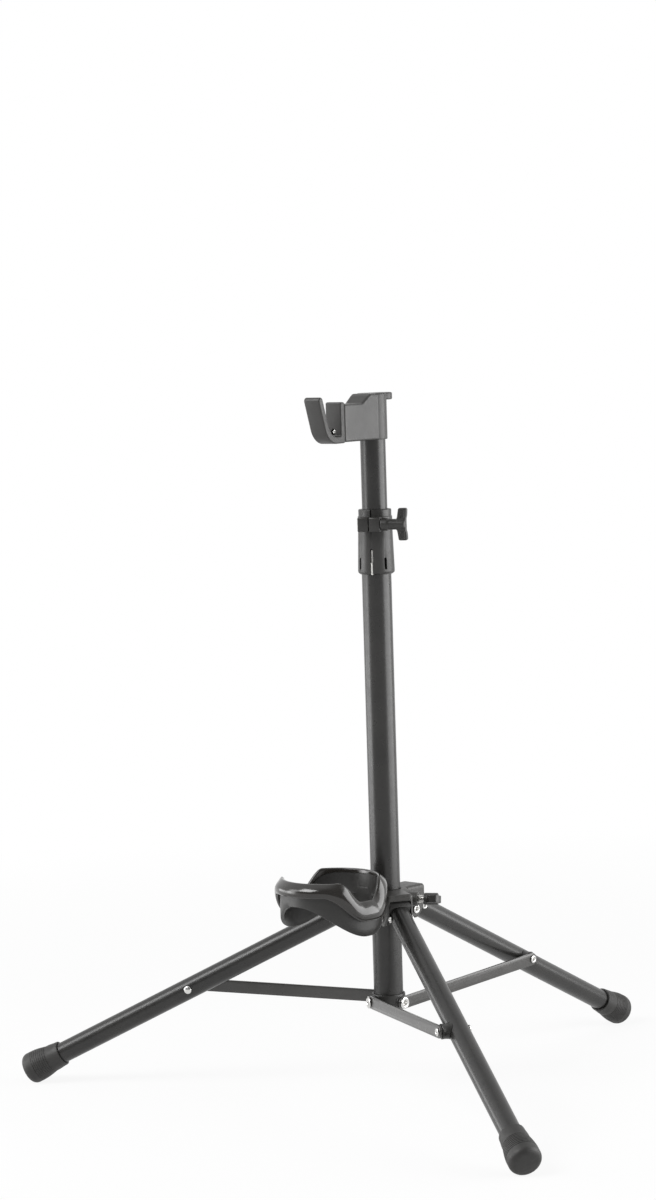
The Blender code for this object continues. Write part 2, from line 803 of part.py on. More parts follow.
# Hub: sleeve and cap, three pairs of ears, a screw boss and a tongue for the cradle
hub = piece(
    "hub",
    lathe(
        "hub",
        [
            (COLUMN_R + SLIDE, HUB_TOP),
            (HUB_CAP_R - HUB_EDGE, HUB_TOP),
            (HUB_CAP_R - 0.3 * HUB_EDGE, HUB_TOP - 0.3 * HUB_EDGE),
            (HUB_CAP_R, HUB_TOP - HUB_EDGE),
            (HUB_CAP_R, CAP_UNDERSIDE),
            (HUB_SLEEVE_R, CAP_UNDERSIDE),
            (HUB_SLEEVE_R, PIVOT_Z - HUB_SLEEVE_BELOW_PIVOT),
            (COLUMN_R + SLIDE, PIVOT_Z - HUB_SLEEVE_BELOW_PIVOT),
        ],
        36,
    ),
    GREY_PLASTIC,
    column,
)
lobe_frames = {}
for side, angle in LEG_ANGLES.items():
    turn = math.radians(angle)
    lobe_frames[side] = empty(
        "hub_ear_" + side,
        (PIVOT_RADIUS * math.cos(turn), PIVOT_RADIUS * math.sin(turn), PIVOT_Z),
        (0.0, 0.0, turn),
        column,
    )
    lobe = tool(
        "hub_lobe_" + side,
        hub_lobe(),
        lobe_frames[side],
        (0.0, EAR_OUTER, 0.0),
        (math.radians(90.0), 0.0, 0.0),
    )
    join(hub, lobe)
boss_frame = empty(
    "hub_screw_axis",
    (0.0, 0.0, PIVOT_Z + HUB_SCREW_ABOVE_PIVOT),
    (0.0, 0.0, HUB_SCREW_ANGLE),
    column,
)
outward = (0.0, math.radians(90.0), 0.0)
hub_boss = tool(
    "hub_boss",
    rod("hub_boss", HUB_BOSS_R, COLUMN_R + 2 * MM, HUB_BOSS_END, 24),
    boss_frame,
    rotation=outward,
)
join(hub, hub_boss)
half_tongue = HUB_TONGUE_WIDTH / 2
hub_tongue = tool(
    "hub_tongue",
    block(
        "hub_tongue",
        (-half_tongue, -TONGUE_FACE, TONGUE_BOTTOM),
        (half_tongue, -COLUMN_R - 2 * MM, HUB_TOP - 1.5 * MM),
    ),
    column,
)
join(hub, hub_tongue)
hub_bore = tool(
    "hub_bore",
    rod("hub_bore", COLUMN_R + SLIDE, PIVOT_Z - 20 * MM, HUB_TOP + 5 * MM, 36),
    column,
)
cut(hub, hub_bore)
slot_low = -EAR_R - 3 * MM
slot_high = HUB_CAP_ABOVE_PIVOT - HUB_CAP_THICK
for side in LEG_ANGLES:
    slot = tool(
        "ear_slot_" + side,
        block(
            "ear_slot",
            (HUB_SLEEVE_R + 0.4 * MM - PIVOT_RADIUS, -EAR_INNER, slot_low),
            (HUB_LOBE_BEYOND_PIVOT + 5 * MM, EAR_INNER, slot_high),
        ),
        lobe_frames[side],
    )
    cut(hub, slot)
    ear_hole = tool(
        "ear_hole_" + side,
        rod("ear_hole", PIVOT_RIVET_R + PIN_GAP, -2 * EAR_OUTER, 2 * EAR_OUTER),
        lobe_frames[side],
        rotation=(math.radians(90.0), 0.0, 0.0),
    )
    cut(hub, ear_hole)
    piece(
        "pivot_rivet_" + side,
        through_rivet(
            "pivot_rivet",
            PIVOT_RIVET_HEAD_R,
            PIVOT_RIVET_R,
            2 * (EAR_OUTER + GAP),
        ),
        CHROME,
        lobe_frames[side],
        rotation=(math.radians(90.0), 0.0, 0.0),
    )
screw_hole = tool(
    "hub_screw_hole",
    rod("hub_screw_hole", HUB_SCREW_R + PIN_GAP, COLUMN_R - MM, HUB_BOSS_END + MM, 18),
    boss_frame,
    rotation=outward,
)
cut(hub, screw_hole)


def wing_mesh(name, barrel_r, neck, span, length, thick, bore_r, bore_depth, hollow, foot):
    """A moulded wing head about +Z: a barrel from 0 with a wider foot, and two wings above its
    neck, their far edge dished in the middle."""
    start = neck
    end = neck + length
    half = span / 2
    tip = 0.19 * length
    inner = start + 0.12 * length
    outline = [(-0.8 * barrel_r, start - 2 * MM), (0.8 * barrel_r, start - 2 * MM)]
    outline += [(barrel_r + 0.8 * MM, start)]
    outline += arc((half - tip, inner + tip), tip, -90.0, 0.0, 3)
    outline += arc((half - tip, end - tip), tip, 0.0, 80.0, 3)
    outline += [(0.35 * half, end - 0.12 * length), (-0.35 * half, end - 0.12 * length)]
    outline += arc((-half + tip, end - tip), tip, 100.0, 180.0, 3)
    outline += arc((-half + tip, inner + tip), tip, 180.0, 270.0, 3)
    outline += [(-barrel_r - 0.8 * MM, start)]
    wings = prism(name + "_wings", outline, thick)
    wings.transform(Matrix.Rotation(math.radians(90.0), 4, "X"))
    wings.transform(Matrix.Translation((0.0, thick / 2, 0.0)))
    foot_r, foot_length = foot
    profile = [(bore_r, 0.0), (foot_r - 0.5 * MM, 0.0), (foot_r, 0.5 * MM)]
    if foot_r > barrel_r:
        profile += [(foot_r, foot_length - 1.5 * MM), (barrel_r, foot_length)]
    profile += [
        (barrel_r, end - hollow - 1.2 * MM),
        (barrel_r - 1.2 * MM, end - hollow),
        (0.0, end - hollow),
        (0.0, bore_depth),
        (bore_r, bore_depth),
    ]
    return lathe(name, profile, 16), wings


def add_wing(name, frame, sizes, location, rotation):
    """A wing head of barrel, joined wings and a shallow pocket in each wing face."""
    barrel_mesh, wing_shape = wing_mesh(name, *sizes)
    made = piece(name, barrel_mesh, BLACK_PLASTIC, frame, location, rotation)
    wings = tool(name + "_wings", wing_shape, made)
    soften(wings, 0.8 * MM, 1)
    join(made, wings)
    barrel_r, neck, span, length, thick, bore_r, bore_depth = sizes[:7]
    clear = tool(name + "_bore", rod(name + "_bore", bore_r, -MM, bore_depth, 16), made)
    cut(made, clear)
    pocket_depth = 0.9 * MM
    for face in (-1, 1):
        for side in (-1, 1):
            x0 = side * (barrel_r + 1.2 * MM)
            x1 = side * (span / 2 - 2.0 * MM)
            y0 = face * (thick / 2 - pocket_depth)
            y1 = face * (thick / 2 + MM)
            pocket = tool(
                name + "_pocket",
                block(
                    name + "_pocket",
                    (min(x0, x1), min(y0, y1), neck + 0.35 * length),
                    (max(x0, x1), max(y0, y1), neck + 0.75 * length),
                ),
                made,
            )
            cut(made, pocket)
    return made


hub_screw = piece(
    "hub_screw",
    rod("hub_screw", HUB_SCREW_R, COLUMN_R + GAP, HUB_WING_START + 8 * MM, 18),
    CHROME,
    boss_frame,
    rotation=outward,
)
wing_turn = empty(
    "hub_wing_turn",
    (HUB_WING_START, 0.0, 0.0),
    (math.radians(90.0) + HUB_WING_TURN, 0.0, 0.0),
    boss_frame,
)
hub_wing = add_wing(
    "hub_wing",
    wing_turn,
    (
        HUB_WING_BARREL_R,
        HUB_WING_NECK,
        HUB_WING_SPAN,
        HUB_WING_LENGTH,
        HUB_WING_THICK,
        HUB_SCREW_R + PIN_GAP,
        8 * MM + GAP,
        HUB_WING_HOLLOW,
        (HUB_WING_BARREL_R, HUB_WING_NECK),
    ),
    (0.0, 0.0, 0.0),
    outward,
)


def cradle_levels(angle):
    """Heights above the hub's top of the cradle's bottom edge, the lip's hem and the lip's top,
    at a plan angle."""
    from_dip = math.degrees(math.acos(abs(math.cos(angle))))
    return (
        CRADLE_BOTTOM_LOW
        + (CRADLE_BOTTOM_HIGH - CRADLE_BOTTOM_LOW) * smooth_step(from_dip, *BOTTOM_RISE),
        LIP_HEM_LOW + (LIP_HEM_HIGH - LIP_HEM_LOW) * smooth_step(from_dip, *HEM_RISE),
        LIP_TOP_LOW + (LIP_TOP_HIGH - LIP_TOP_LOW) * smooth_step(from_dip, *TOP_RISE),
    )


def swept_ring(name, section):
    """A ring about +Z whose section, as (radius, height) points, depends on the plan angle."""
    shape = bmesh.new()
    rows = []
    for step in range(CRADLE_STEPS):
        angle = math.tau * step / CRADLE_STEPS
        across = (math.cos(angle), math.sin(angle))
        rows.append(
            [shape.verts.new((r * across[0], r * across[1], z)) for r, z in section(angle)]
        )
    for row, following in zip(rows, rows[1:] + rows[:1]):
        for index in range(len(row)):
            after = (index + 1) % len(row)
            shape.faces.new((row[index], following[index], following[after], row[after]))
    return finish_mesh(name, shape)


def band_section(angle):
    """Section of the cradle's moulded band."""
    bottom, _hem, top = cradle_levels(angle)
    inner = CRADLE_R - CRADLE_WALL
    crown = top - LIP_CAP
    return [
        (CRADLE_R - 0.8 * MM, bottom),
        (CRADLE_R, bottom + 0.8 * MM),
        (CRADLE_R, crown),
        (inner, crown),
        (inner, bottom + 0.8 * MM),
        (inner + 0.8 * MM, bottom),
    ]


def lip_section(angle):
    """Section of the rolled lip, which caps the band and bulges over its outside."""
    _bottom, hem, top = cradle_levels(angle)
    inner = CRADLE_R - CRADLE_WALL
    rim = CRADLE_R + LIP_FLARE
    crest = CRADLE_R - 1.5 * MM
    seat = top - LIP_CAP + GAP
    points = [
        (inner - 0.6 * MM, seat),
        (inner - 0.6 * MM, top - 1.6 * MM),
        (inner + 0.7 * MM, top - 0.3 * MM),
        (crest, top),
    ]
    for share in (0.1, 0.25, 0.45, 0.7):
        bulge = math.sin(min(1.6 * share, 1.0) * math.pi / 2)
        points.append((crest + (rim - crest) * bulge, top - (top - hem) * share))
    points += [
        (rim - 0.4 * MM, hem + 1.4 * MM),
        (rim - 1.8 * MM, hem),
        (CRADLE_R + GAP, hem + 1.0 * MM),
        (CRADLE_R + GAP, seat),
    ]
    return points


# Cradle: a saddle-shaped band with a tab at its back, screwed to the hub's tongue
cradle_frame = empty("cradle_centre", (0.0, -CRADLE_CENTRE, HUB_TOP), parent=column)
cradle = piece("cradle", swept_ring("cradle", band_section), BLACK_PLASTIC, cradle_frame)
tab_top = CRADLE_BOTTOM_HIGH + 6 * MM
cradle_tab = tool(
    "cradle_tab",
    block(
        "cradle_tab",
        (-half_tongue, CRADLE_R - CRADLE_TAB_THICK, MM - HUB_TONGUE_DEPTH),
        (half_tongue, CRADLE_R, tab_top),
    ),
    cradle_frame,
)
soften(cradle_tab, 1.0 * MM, 1)
join(cradle, cradle_tab)
piece("cradle_lip", swept_ring("cradle_lip", lip_section), GLOSSY_LIP, cradle_frame)
tab_front = CRADLE_BACK + CRADLE_TAB_THICK
for side, place in (("left", -CRADLE_SCREW_SPREAD), ("right", CRADLE_SCREW_SPREAD)):
    hole = tool(
        "cradle_screw_hole_" + side,
        rod(
            "cradle_screw_hole",
            CRADLE_SCREW_R + PIN_GAP,
            COLUMN_R + 5 * MM,
            tab_front + MM,
        ),
        column,
        (place, 0.0, CRADLE_SCREW_Z),
        (math.radians(90.0), 0.0, 0.0),
    )
    cut(hub, hole)
    cut(cradle, hole)
    piece(
        "cradle_screw_" + side,
        rivet(
            "cradle_screw",
            CRADLE_SCREW_HEAD_R,
            CRADLE_SCREW_R,
            tab_front + GAP - (COLUMN_R + 6 * MM),
            2.0 * MM,
            0.8 * MM,
        ),
        CHROME,
        column,
        (place, -(tab_front + GAP), CRADLE_SCREW_Z),
        (math.radians(90.0), 0.0, 0.0),
    )

# Height clamp: top ring, split collar with two lugs, and a skirt over the column
clamp = piece(
    "clamp",
    lathe(
        "clamp",
        [
            (COLUMN_R + 1.2 * MM, CLAMP_BOTTOM),
            (CLAMP_SKIRT_R - 0.8 * MM, CLAMP_BOTTOM + 1.1 * MM),
            (CLAMP_SKIRT_R, CLAMP_BOTTOM + 3.0 * MM),
            (CLAMP_BODY_R, CLAMP_SCREW_Z - LUG_HEIGHT / 2),
            (CLAMP_BODY_R, COLUMN_TOP + CLAMP_STEP - 0.8 * MM),
            (CLAMP_RING_R, COLUMN_TOP + CLAMP_STEP),
            (CLAMP_RING_R, CLAMP_TOP - 0.8 * MM),
            (CLAMP_RING_R - 0.8 * MM, CLAMP_TOP),
            (UPPER_R + SLIDE, CLAMP_TOP),
            (UPPER_R + SLIDE, COLUMN_TOP + GAP),
            (COLUMN_R + GAP, COLUMN_TOP + GAP),
            (COLUMN_R + GAP, CLAMP_BOTTOM),
        ],
        32,
    ),
    BLACK_PLASTIC,
    column,
)
lug_frame = empty("clamp_lugs", (0.0, 0.0, CLAMP_SCREW_Z), (0.0, 0.0, LUG_ANGLE), column)
lugs = tool(
    "lugs",
    block(
        "lugs",
        (COLUMN_R + 1.2 * MM, -LUG_FACE, -LUG_HEIGHT / 2),
        (LUG_REACH, LUG_FACE, LUG_HEIGHT / 2),
    ),
    lug_frame,
)
soften(lugs, 0.9 * MM, 1)
join(clamp, lugs)
clamp_screw_frame = empty(
    "clamp_screw_axis",
    (CLAMP_SCREW_RADIUS, 0.0, 0.0),
    (0.0, 0.0, 0.0),
    lug_frame,
)
along_screw = (math.radians(-90.0), 0.0, 0.0)
split = tool(
    "clamp_split",
    block(
        "clamp_split",
        (UPPER_R - 2 * MM, -CLAMP_SPLIT / 2, -LUG_HEIGHT / 2 - MM),
        (LUG_REACH + MM, CLAMP_SPLIT / 2, CLAMP_TOP - CLAMP_SCREW_Z + MM),
    ),
    lug_frame,
)
cut(clamp, split)
lug_hole = tool(
    "lug_hole",
    rod("lug_hole", CLAMP_SCREW_R + PIN_GAP, -LUG_FACE - MM, LUG_FACE + MM, 16),
    clamp_screw_frame,
    rotation=along_screw,
)
cut(clamp, lug_hole)
nut_pocket = tool(
    "nut_pocket",
    block(
        "nut_pocket",
        (-CLAMP_NUT_FLAT / 2 - GAP, -LUG_FACE - MM, -CLAMP_NUT_FLAT / 2 - GAP),
        (CLAMP_NUT_FLAT / 2 + GAP, -LUG_FACE + CLAMP_NUT_THICK + GAP, CLAMP_NUT_FLAT / 2 + GAP),
    ),
    clamp_screw_frame,
)
cut(clamp, nut_pocket)


def skirt_slot_mesh(width, low, high):
    """A slot cutter with round ends, pointing along +X, between two heights."""
    half = width / 2
    outline = arc((0.0, low + half), half, 180.0, 360.0, 4)
    outline += arc((0.0, high - half), half, 0.0, 180.0, 4)
    mesh = prism("skirt_slot", outline, 6 * MM)
    mesh.transform(Matrix.Rotation(math.radians(90.0), 4, "X"))
    mesh.transform(Matrix.Rotation(math.radians(90.0), 4, "Z"))
    return mesh


# Slots in the skirt: one each way from the lugs, and a keyway below them, open at the bottom
skirt_slots = (
    ("left", -CLAMP_SLOT_TURN, CLAMP_SLOT_WIDTH, CLAMP_SLOT_LOW, CLAMP_SLOT_HIGH),
    ("right", CLAMP_SLOT_TURN, CLAMP_SLOT_WIDTH, CLAMP_SLOT_LOW, CLAMP_SLOT_HIGH),
    ("keyway", 0.0, CLAMP_KEYWAY_WIDTH, -2 * CLAMP_KEYWAY_WIDTH, CLAMP_KEYWAY_HIGH),
)
for name, turn, width, low, high in skirt_slots:
    slot_frame = empty(
        "skirt_slot_axis_" + name,
        (0.0, 0.0, CLAMP_BOTTOM - CLAMP_SCREW_Z),
        (0.0, 0.0, turn),
        lug_frame,
    )
    skirt_slot = tool(
        "skirt_slot_" + name,
        skirt_slot_mesh(width, low, high),
        slot_frame,
        (COLUMN_R - MM, 0.0, 0.0),
    )
    cut(clamp, skirt_slot)
half_key = CLAMP_KEYWAY_WIDTH / 2 - GAP
piece(
    "clamp_key",
    block(
        "clamp_key",
        (COLUMN_R + GAP, -half_key, CLAMP_BOTTOM - CLAMP_SCREW_Z),
        (
            CLAMP_SKIRT_R - CLAMP_KEY_SUNK,
            half_key,
            CLAMP_BOTTOM + CLAMP_KEY_HIGH - CLAMP_SCREW_Z,
        ),
    ),
    PALE_PLASTIC,
    lug_frame,
)

nut_mesh = block(
    "clamp_nut",
    (-CLAMP_NUT_FLAT / 2, -CLAMP_NUT_FLAT / 2, -LUG_FACE),
    (CLAMP_NUT_FLAT / 2, CLAMP_NUT_FLAT / 2, -LUG_FACE + CLAMP_NUT_THICK),
)
clamp_nut = piece("clamp_nut", nut_mesh, CHROME, clamp_screw_frame, rotation=along_screw)
cut(clamp_nut, lug_hole)
screw_end = LUG_FACE + 8 * MM
piece(
    "clamp_screw",
    rod("clamp_screw", CLAMP_SCREW_R, -LUG_FACE + 0.2 * MM, screw_end, 16),
    CHROME,
    clamp_screw_frame,
    rotation=along_screw,
)
add_wing(
    "clamp_wing",
    clamp_screw_frame,
    (
        CLAMP_BOSS_R,
        CLAMP_BOSS_LENGTH,
        CLAMP_WING_SPAN,
        CLAMP_WING_LENGTH,
        CLAMP_WING_THICK,
        CLAMP_SCREW_R + PIN_GAP,
        screw_end - LUG_FACE,
        CLAMP_WING_HOLLOW,
        (CLAMP_BOSS_FOOT_R, CLAMP_BOSS_FOOT),
    ),
    (0.0, LUG_FACE + GAP, 0.0),
    (math.radians(-90.0), math.radians(90.0), 0.0),
)

# Upper tube, with the glide in its lower end
piece(
    "upper_tube",
    tube("upper_tube", UPPER_R, UPPER_R - UPPER_WALL, UPPER_BOTTOM, UPPER_TOP),
    BLACK_PAINT,
    column,
)
glide_r = COLUMN_R - COLUMN_WALL - SLIDE
spigot_r = UPPER_R - UPPER_WALL - SLIDE
piece(
    "tube_glide",
    lathe(
        "tube_glide",
        [
            (0.0, UPPER_BOTTOM - GAP - GLIDE_HEAD),
            (glide_r - 0.8 * MM, UPPER_BOTTOM - GAP - GLIDE_HEAD),
            (glide_r, UPPER_BOTTOM - GAP - GLIDE_HEAD + 0.8 * MM),
            (glide_r, UPPER_BOTTOM - GAP),
            (spigot_r, UPPER_BOTTOM - GAP),
            (spigot_r, UPPER_BOTTOM + GLIDE_SPIGOT),
            (0.0, UPPER_BOTTOM + GLIDE_SPIGOT),
        ],
        28,
    ),
    BLACK_PLASTIC,
    column,
)

# Head: a sleeve on the upper tube, the arm to the hook, and the mouthpiece holder behind
head_frame = empty("head_axis", (0.0, 0.0, 0.0), (0.0, 0.0, HEAD_TURN), column)
head = piece(
    "head",
    lathe(
        "head",
        [
            (0.0, HEAD_TOP),
            (HEAD_R - 0.8 * MM, HEAD_TOP),
            (HEAD_R, HEAD_TOP - 0.8 * MM),
            (HEAD_R, HEAD_BOTTOM + 0.6 * MM),
            (HEAD_R - 0.6 * MM, HEAD_BOTTOM),
            (0.0, HEAD_BOTTOM),
        ],
        32,
    ),
    GREY_PLASTIC,
    head_frame,
)


def arm_mesh():
    """The arm from the sleeve to the hook, deep at its root, with its width drawn in."""
    shoulder_z = HEAD_TOP - ARM_DROP
    low = HEAD_BOTTOM + 0.1 * MM
    high = HEAD_TOP - 0.2 * MM
    outline = [
        (0.0, low),
        (ARM_END, low),
        (ARM_END, HOOK_WALL_TOP - 2 * MM),
        (ARM_SHOULDER + 14 * MM, shoulder_z),
        (ARM_SHOULDER + 4 * MM, HEAD_TOP - 0.25 * ARM_DROP),
        (ARM_SHOULDER, high),
        (0.0, high),
    ]
    shape = bmesh.new()
    sides = []
    for sign in (-1.0, 1.0):
        row = []
        for reach, height in outline:
            share = reach / ARM_END
            half = ARM_ROOT_HALF + (ARM_END_HALF - ARM_ROOT_HALF) * share
            row.append(shape.verts.new((sign * half, -reach, height)))
        sides.append(row)
    left, right = sides
    shape.faces.new(left)
    shape.faces.new(list(reversed(right)))
    for index in range(len(outline)):
        after = (index + 1) % len(outline)
        shape.faces.new((left[after], left[index], right[index], right[after]))
    return finish_mesh("arm", shape)


arm = tool("arm", arm_mesh(), head_frame)
soften(arm, 1.2 * MM)
join(head, arm)
holder = tool(
    "holder",
    lathe(
        "holder",
        [
            (0.0, HEAD_TOP - HOLDER_THICK - 0.1 * MM),
            (HOLDER_R - 0.8 * MM, HEAD_TOP - HOLDER_THICK - 0.1 * MM),
            (HOLDER_R, HEAD_TOP - HOLDER_THICK + 0.7 * MM),
            (HOLDER_R, HEAD_TOP - 0.9 * MM),
            (HOLDER_R - 0.8 * MM, HEAD_TOP - 0.1 * MM),
            (0.0, HEAD_TOP - 0.1 * MM),
        ],
        28,
    ),
    head_frame,
    (0.0, HOLDER_AT, 0.0),
)
join(head, holder)
head_bore = tool(
    "head_bore",
    rod("head_bore", UPPER_R + GAP, HEAD_BOTTOM - 5 * MM, UPPER_TOP + GAP, 32),
    head_frame,
)
cut(head, head_bore)
holder_bore = tool(
    "holder_bore",
    rod("holder_bore", HOLDER_BORE_R, HEAD_TOP - HOLDER_THICK - MM, HEAD_TOP + 5 * MM, 24),
    head_frame,
    (0.0, HOLDER_AT, 0.0),
)
cut(head, holder_bore)

# Hook: wall, floor and a finger that leans outwards
hook_back = ARM_END + GAP
hook_face = hook_back + HOOK_WALL
floor_z = HOOK_BOTTOM + HOOK_WALL
inner_r = HOOK_BEND_R
outer_r = inner_r + HOOK_WALL
bend = (hook_face + HOOK_GAP - inner_r, HOOK_BOTTOM + outer_r)
lean = math.degrees(HOOK_LEAN)
finger = (HOOK_TIP - HOOK_WALL / 2 - bend[1]) / math.cos(HOOK_LEAN)
finger += (inner_r + HOOK_WALL / 2) * math.tan(HOOK_LEAN)
rise = (math.sin(HOOK_LEAN) * finger, math.cos(HOOK_LEAN) * finger)
middle_r = inner_r + HOOK_WALL / 2
tip_centre = (
    bend[0] + middle_r * math.cos(HOOK_LEAN) + rise[0],
    bend[1] - middle_r * math.sin(HOOK_LEAN) + rise[1],
)
corner = HOOK_CORNER_R
hook_outline = [(hook_back, HOOK_BOTTOM)]
hook_outline += arc(bend, outer_r, -90.0, -lean, 7)
hook_outline += arc(tip_centre, HOOK_WALL / 2, -lean, 180.0 - lean, 6)
hook_outline += list(reversed(arc(bend, inner_r, -90.0, -lean, 6)))
hook_outline += list(
    reversed(arc((hook_face + corner, floor_z + corner), corner, 180.0, 270.0, 3))
)
hook_outline += [(hook_face, HOOK_WALL_TOP), (hook_back, HOOK_WALL_TOP)]
hook_mesh = prism("hook", hook_outline, HOOK_WIDTH)
hook_mesh.transform(Matrix.Rotation(math.radians(90.0), 4, "X"))
hook_mesh.transform(Matrix.Rotation(math.radians(-90.0), 4, "Z"))
hook = piece("hook", hook_mesh, BLACK_PLASTIC, head_frame, (HOOK_WIDTH / 2, 0.0, 0.0))
screw_z = floor_z + HOOK_SCREW_ABOVE_FLOOR
forward = (math.radians(90.0), 0.0, 0.0)
hook_hole = tool(
    "hook_hole",
    rod(
        "hook_hole",
        HOOK_SCREW_R + PIN_GAP,
        hook_face - HOOK_SCREW_LENGTH - MM,
        hook_face + MM,
    ),
    head_frame,
    (0.0, 0.0, screw_z),
    forward,
)
soften(hook, 1.5 * MM)
cut(hook, hook_hole)
cut(head, hook_hole)
piece(
    "hook_screw",
    rivet(
        "hook_screw",
        HOOK_SCREW_HEAD_R,
        HOOK_SCREW_R,
        HOOK_SCREW_LENGTH,
        1.7 * MM,
        0.9 * MM,
    ),
    CHROME,
    head_frame,
    (0.0, -(hook_face + GAP), screw_z),
    forward,
)
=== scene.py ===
"""Looks of the tenor horn stand: the finish of every piece, its light, its floor and its camera.

The pieces follow in the order in which the stand is put together, from the column upwards.
Sizes are in metres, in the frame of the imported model.
"""

import math

import bmesh
import bpy
from mathutils import Matrix, Vector


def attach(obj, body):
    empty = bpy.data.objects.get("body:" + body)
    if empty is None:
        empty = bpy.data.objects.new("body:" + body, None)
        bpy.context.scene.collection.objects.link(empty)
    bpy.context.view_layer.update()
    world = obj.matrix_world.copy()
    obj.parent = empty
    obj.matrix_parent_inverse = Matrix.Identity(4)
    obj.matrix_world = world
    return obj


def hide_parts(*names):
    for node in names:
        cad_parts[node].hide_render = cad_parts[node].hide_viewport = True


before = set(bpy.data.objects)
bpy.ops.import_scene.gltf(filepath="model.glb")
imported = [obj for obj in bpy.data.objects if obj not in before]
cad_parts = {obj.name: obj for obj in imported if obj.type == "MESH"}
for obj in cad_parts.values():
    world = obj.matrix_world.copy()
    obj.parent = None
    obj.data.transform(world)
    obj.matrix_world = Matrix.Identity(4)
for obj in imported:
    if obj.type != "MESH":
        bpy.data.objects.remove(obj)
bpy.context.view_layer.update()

# Column
# A round steel tube under a baked satin powder coat, black with a warm cast. It has a very
# fine orange peel, and its cut ends are deburred.

MM = 0.001
COLUMN_Y = -0.087167
COLUMN_R = 14.0 * MM
COLUMN_WALL = 1.3 * MM
COLUMN_FOOT = 80.7 * MM
COLUMN_TOP = 544.5 * MM
DEBURR = 0.3 * MM
column = Matrix.Translation((0.0, COLUMN_Y, 0.0))
along_x = Matrix.Rotation(math.radians(90.0), 4, "Y")
along_y = Matrix.Rotation(math.radians(-90.0), 4, "X")
against_y = Matrix.Rotation(math.radians(90.0), 4, "X")


def shift(x=0.0, y=0.0, z=0.0):
    return Matrix.Translation((x, y, z))


def turn(degrees, axis="Z"):
    return Matrix.Rotation(math.radians(degrees), 4, axis)


def bow(centre, across, rise, start, end, steps):
    """Points on part of an ellipse, its angles in degrees."""
    found = []
    for step in range(steps + 1):
        angle = math.radians(start + (end - start) * step / steps)
        found.append((centre[0] + across * math.cos(angle), centre[1] + rise * math.sin(angle)))
    return found


def only(obj):
    bpy.ops.object.select_all(action="DESELECT")
    obj.select_set(True)
    bpy.context.view_layer.objects.active = obj
    return obj


def settled(obj, matrix):
    """Moves a piece, so that its place ends up in its mesh."""
    only(obj)
    obj.matrix_world = matrix
    bpy.ops.object.transform_apply(location=True, rotation=True, scale=True)
    return obj


def closed(obj):
    """Merges the doubles of a piece in edit mode, points its faces outwards and leaves."""
    bpy.ops.mesh.select_all(action="SELECT")
    bpy.ops.mesh.remove_doubles(threshold=0.001 * MM)
    bpy.ops.mesh.normals_make_consistent(inside=False)
    if bmesh.from_edit_mesh(obj.data).calc_volume(signed=True) < 0.0:
        bpy.ops.mesh.flip_normals()
    bpy.ops.object.mode_set(mode="OBJECT")
    return obj


def turned(name, profile, sides=72):
    """A piece turned about +Z, ring by ring. Its profile of (radius, height) runs from axis to
    axis where it is solid, and closes on itself where it is hollow."""
    solid = profile[0][0] == 0.0
    rings = profile[1:-1] if solid else profile + profile[:1]
    radius, height = rings[0]
    bpy.ops.object.select_all(action="DESELECT")
    bpy.ops.mesh.primitive_circle_add(
        vertices=sides, radius=radius, fill_type="TRIFAN" if solid else "NOTHING"
    )
    made = settled(bpy.context.object, shift(z=height))
    made.name = name
    bpy.ops.object.mode_set(mode="EDIT")
    bpy.ops.mesh.select_all(action="SELECT")
    for wide, high in rings[1:]:
        bpy.ops.mesh.extrude_region_move(TRANSFORM_OT_translate={"value": (0, 0, high - height)})
        bpy.ops.transform.resize(
            value=(wide / radius, wide / radius, 1.0), center_override=(0.0, 0.0, high)
        )
        radius, height = wide, high
    return closed(made)


def smooth(obj, degrees=38.0):
    only(obj)
    bpy.ops.object.shade_smooth_by_angle(angle=math.radians(degrees))
    return obj


def stood(master, name, matrix):
    """A copy of a piece with its own mesh, at its place."""
    made = bpy.data.objects.new(name, master.data.copy())
    bpy.context.scene.collection.objects.link(made)
    return smooth(settled(made, matrix))


def put_away(*masters):
    for master in masters:
        bpy.data.objects.remove(master, do_unlink=True)


def fitted(obj, finish, body, slot, *nodes):
    """Gives a finished piece its finish, its body and the nodes that it stands for."""
    obj.data.materials.clear()
    obj.data.materials.append(finish)
    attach(obj, body)
    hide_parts(*nodes)
    return obj


def tube_profile(outer, wall, start, end):
    inner = outer - wall
    return [
        (outer - DEBURR, start),
        (outer, start + DEBURR),
        (outer, end - DEBURR),
        (outer - DEBURR, end),
        (inner + DEBURR, end),
        (inner, end - DEBURR),
        (inner, start + DEBURR),
        (inner + DEBURR, start),
    ]


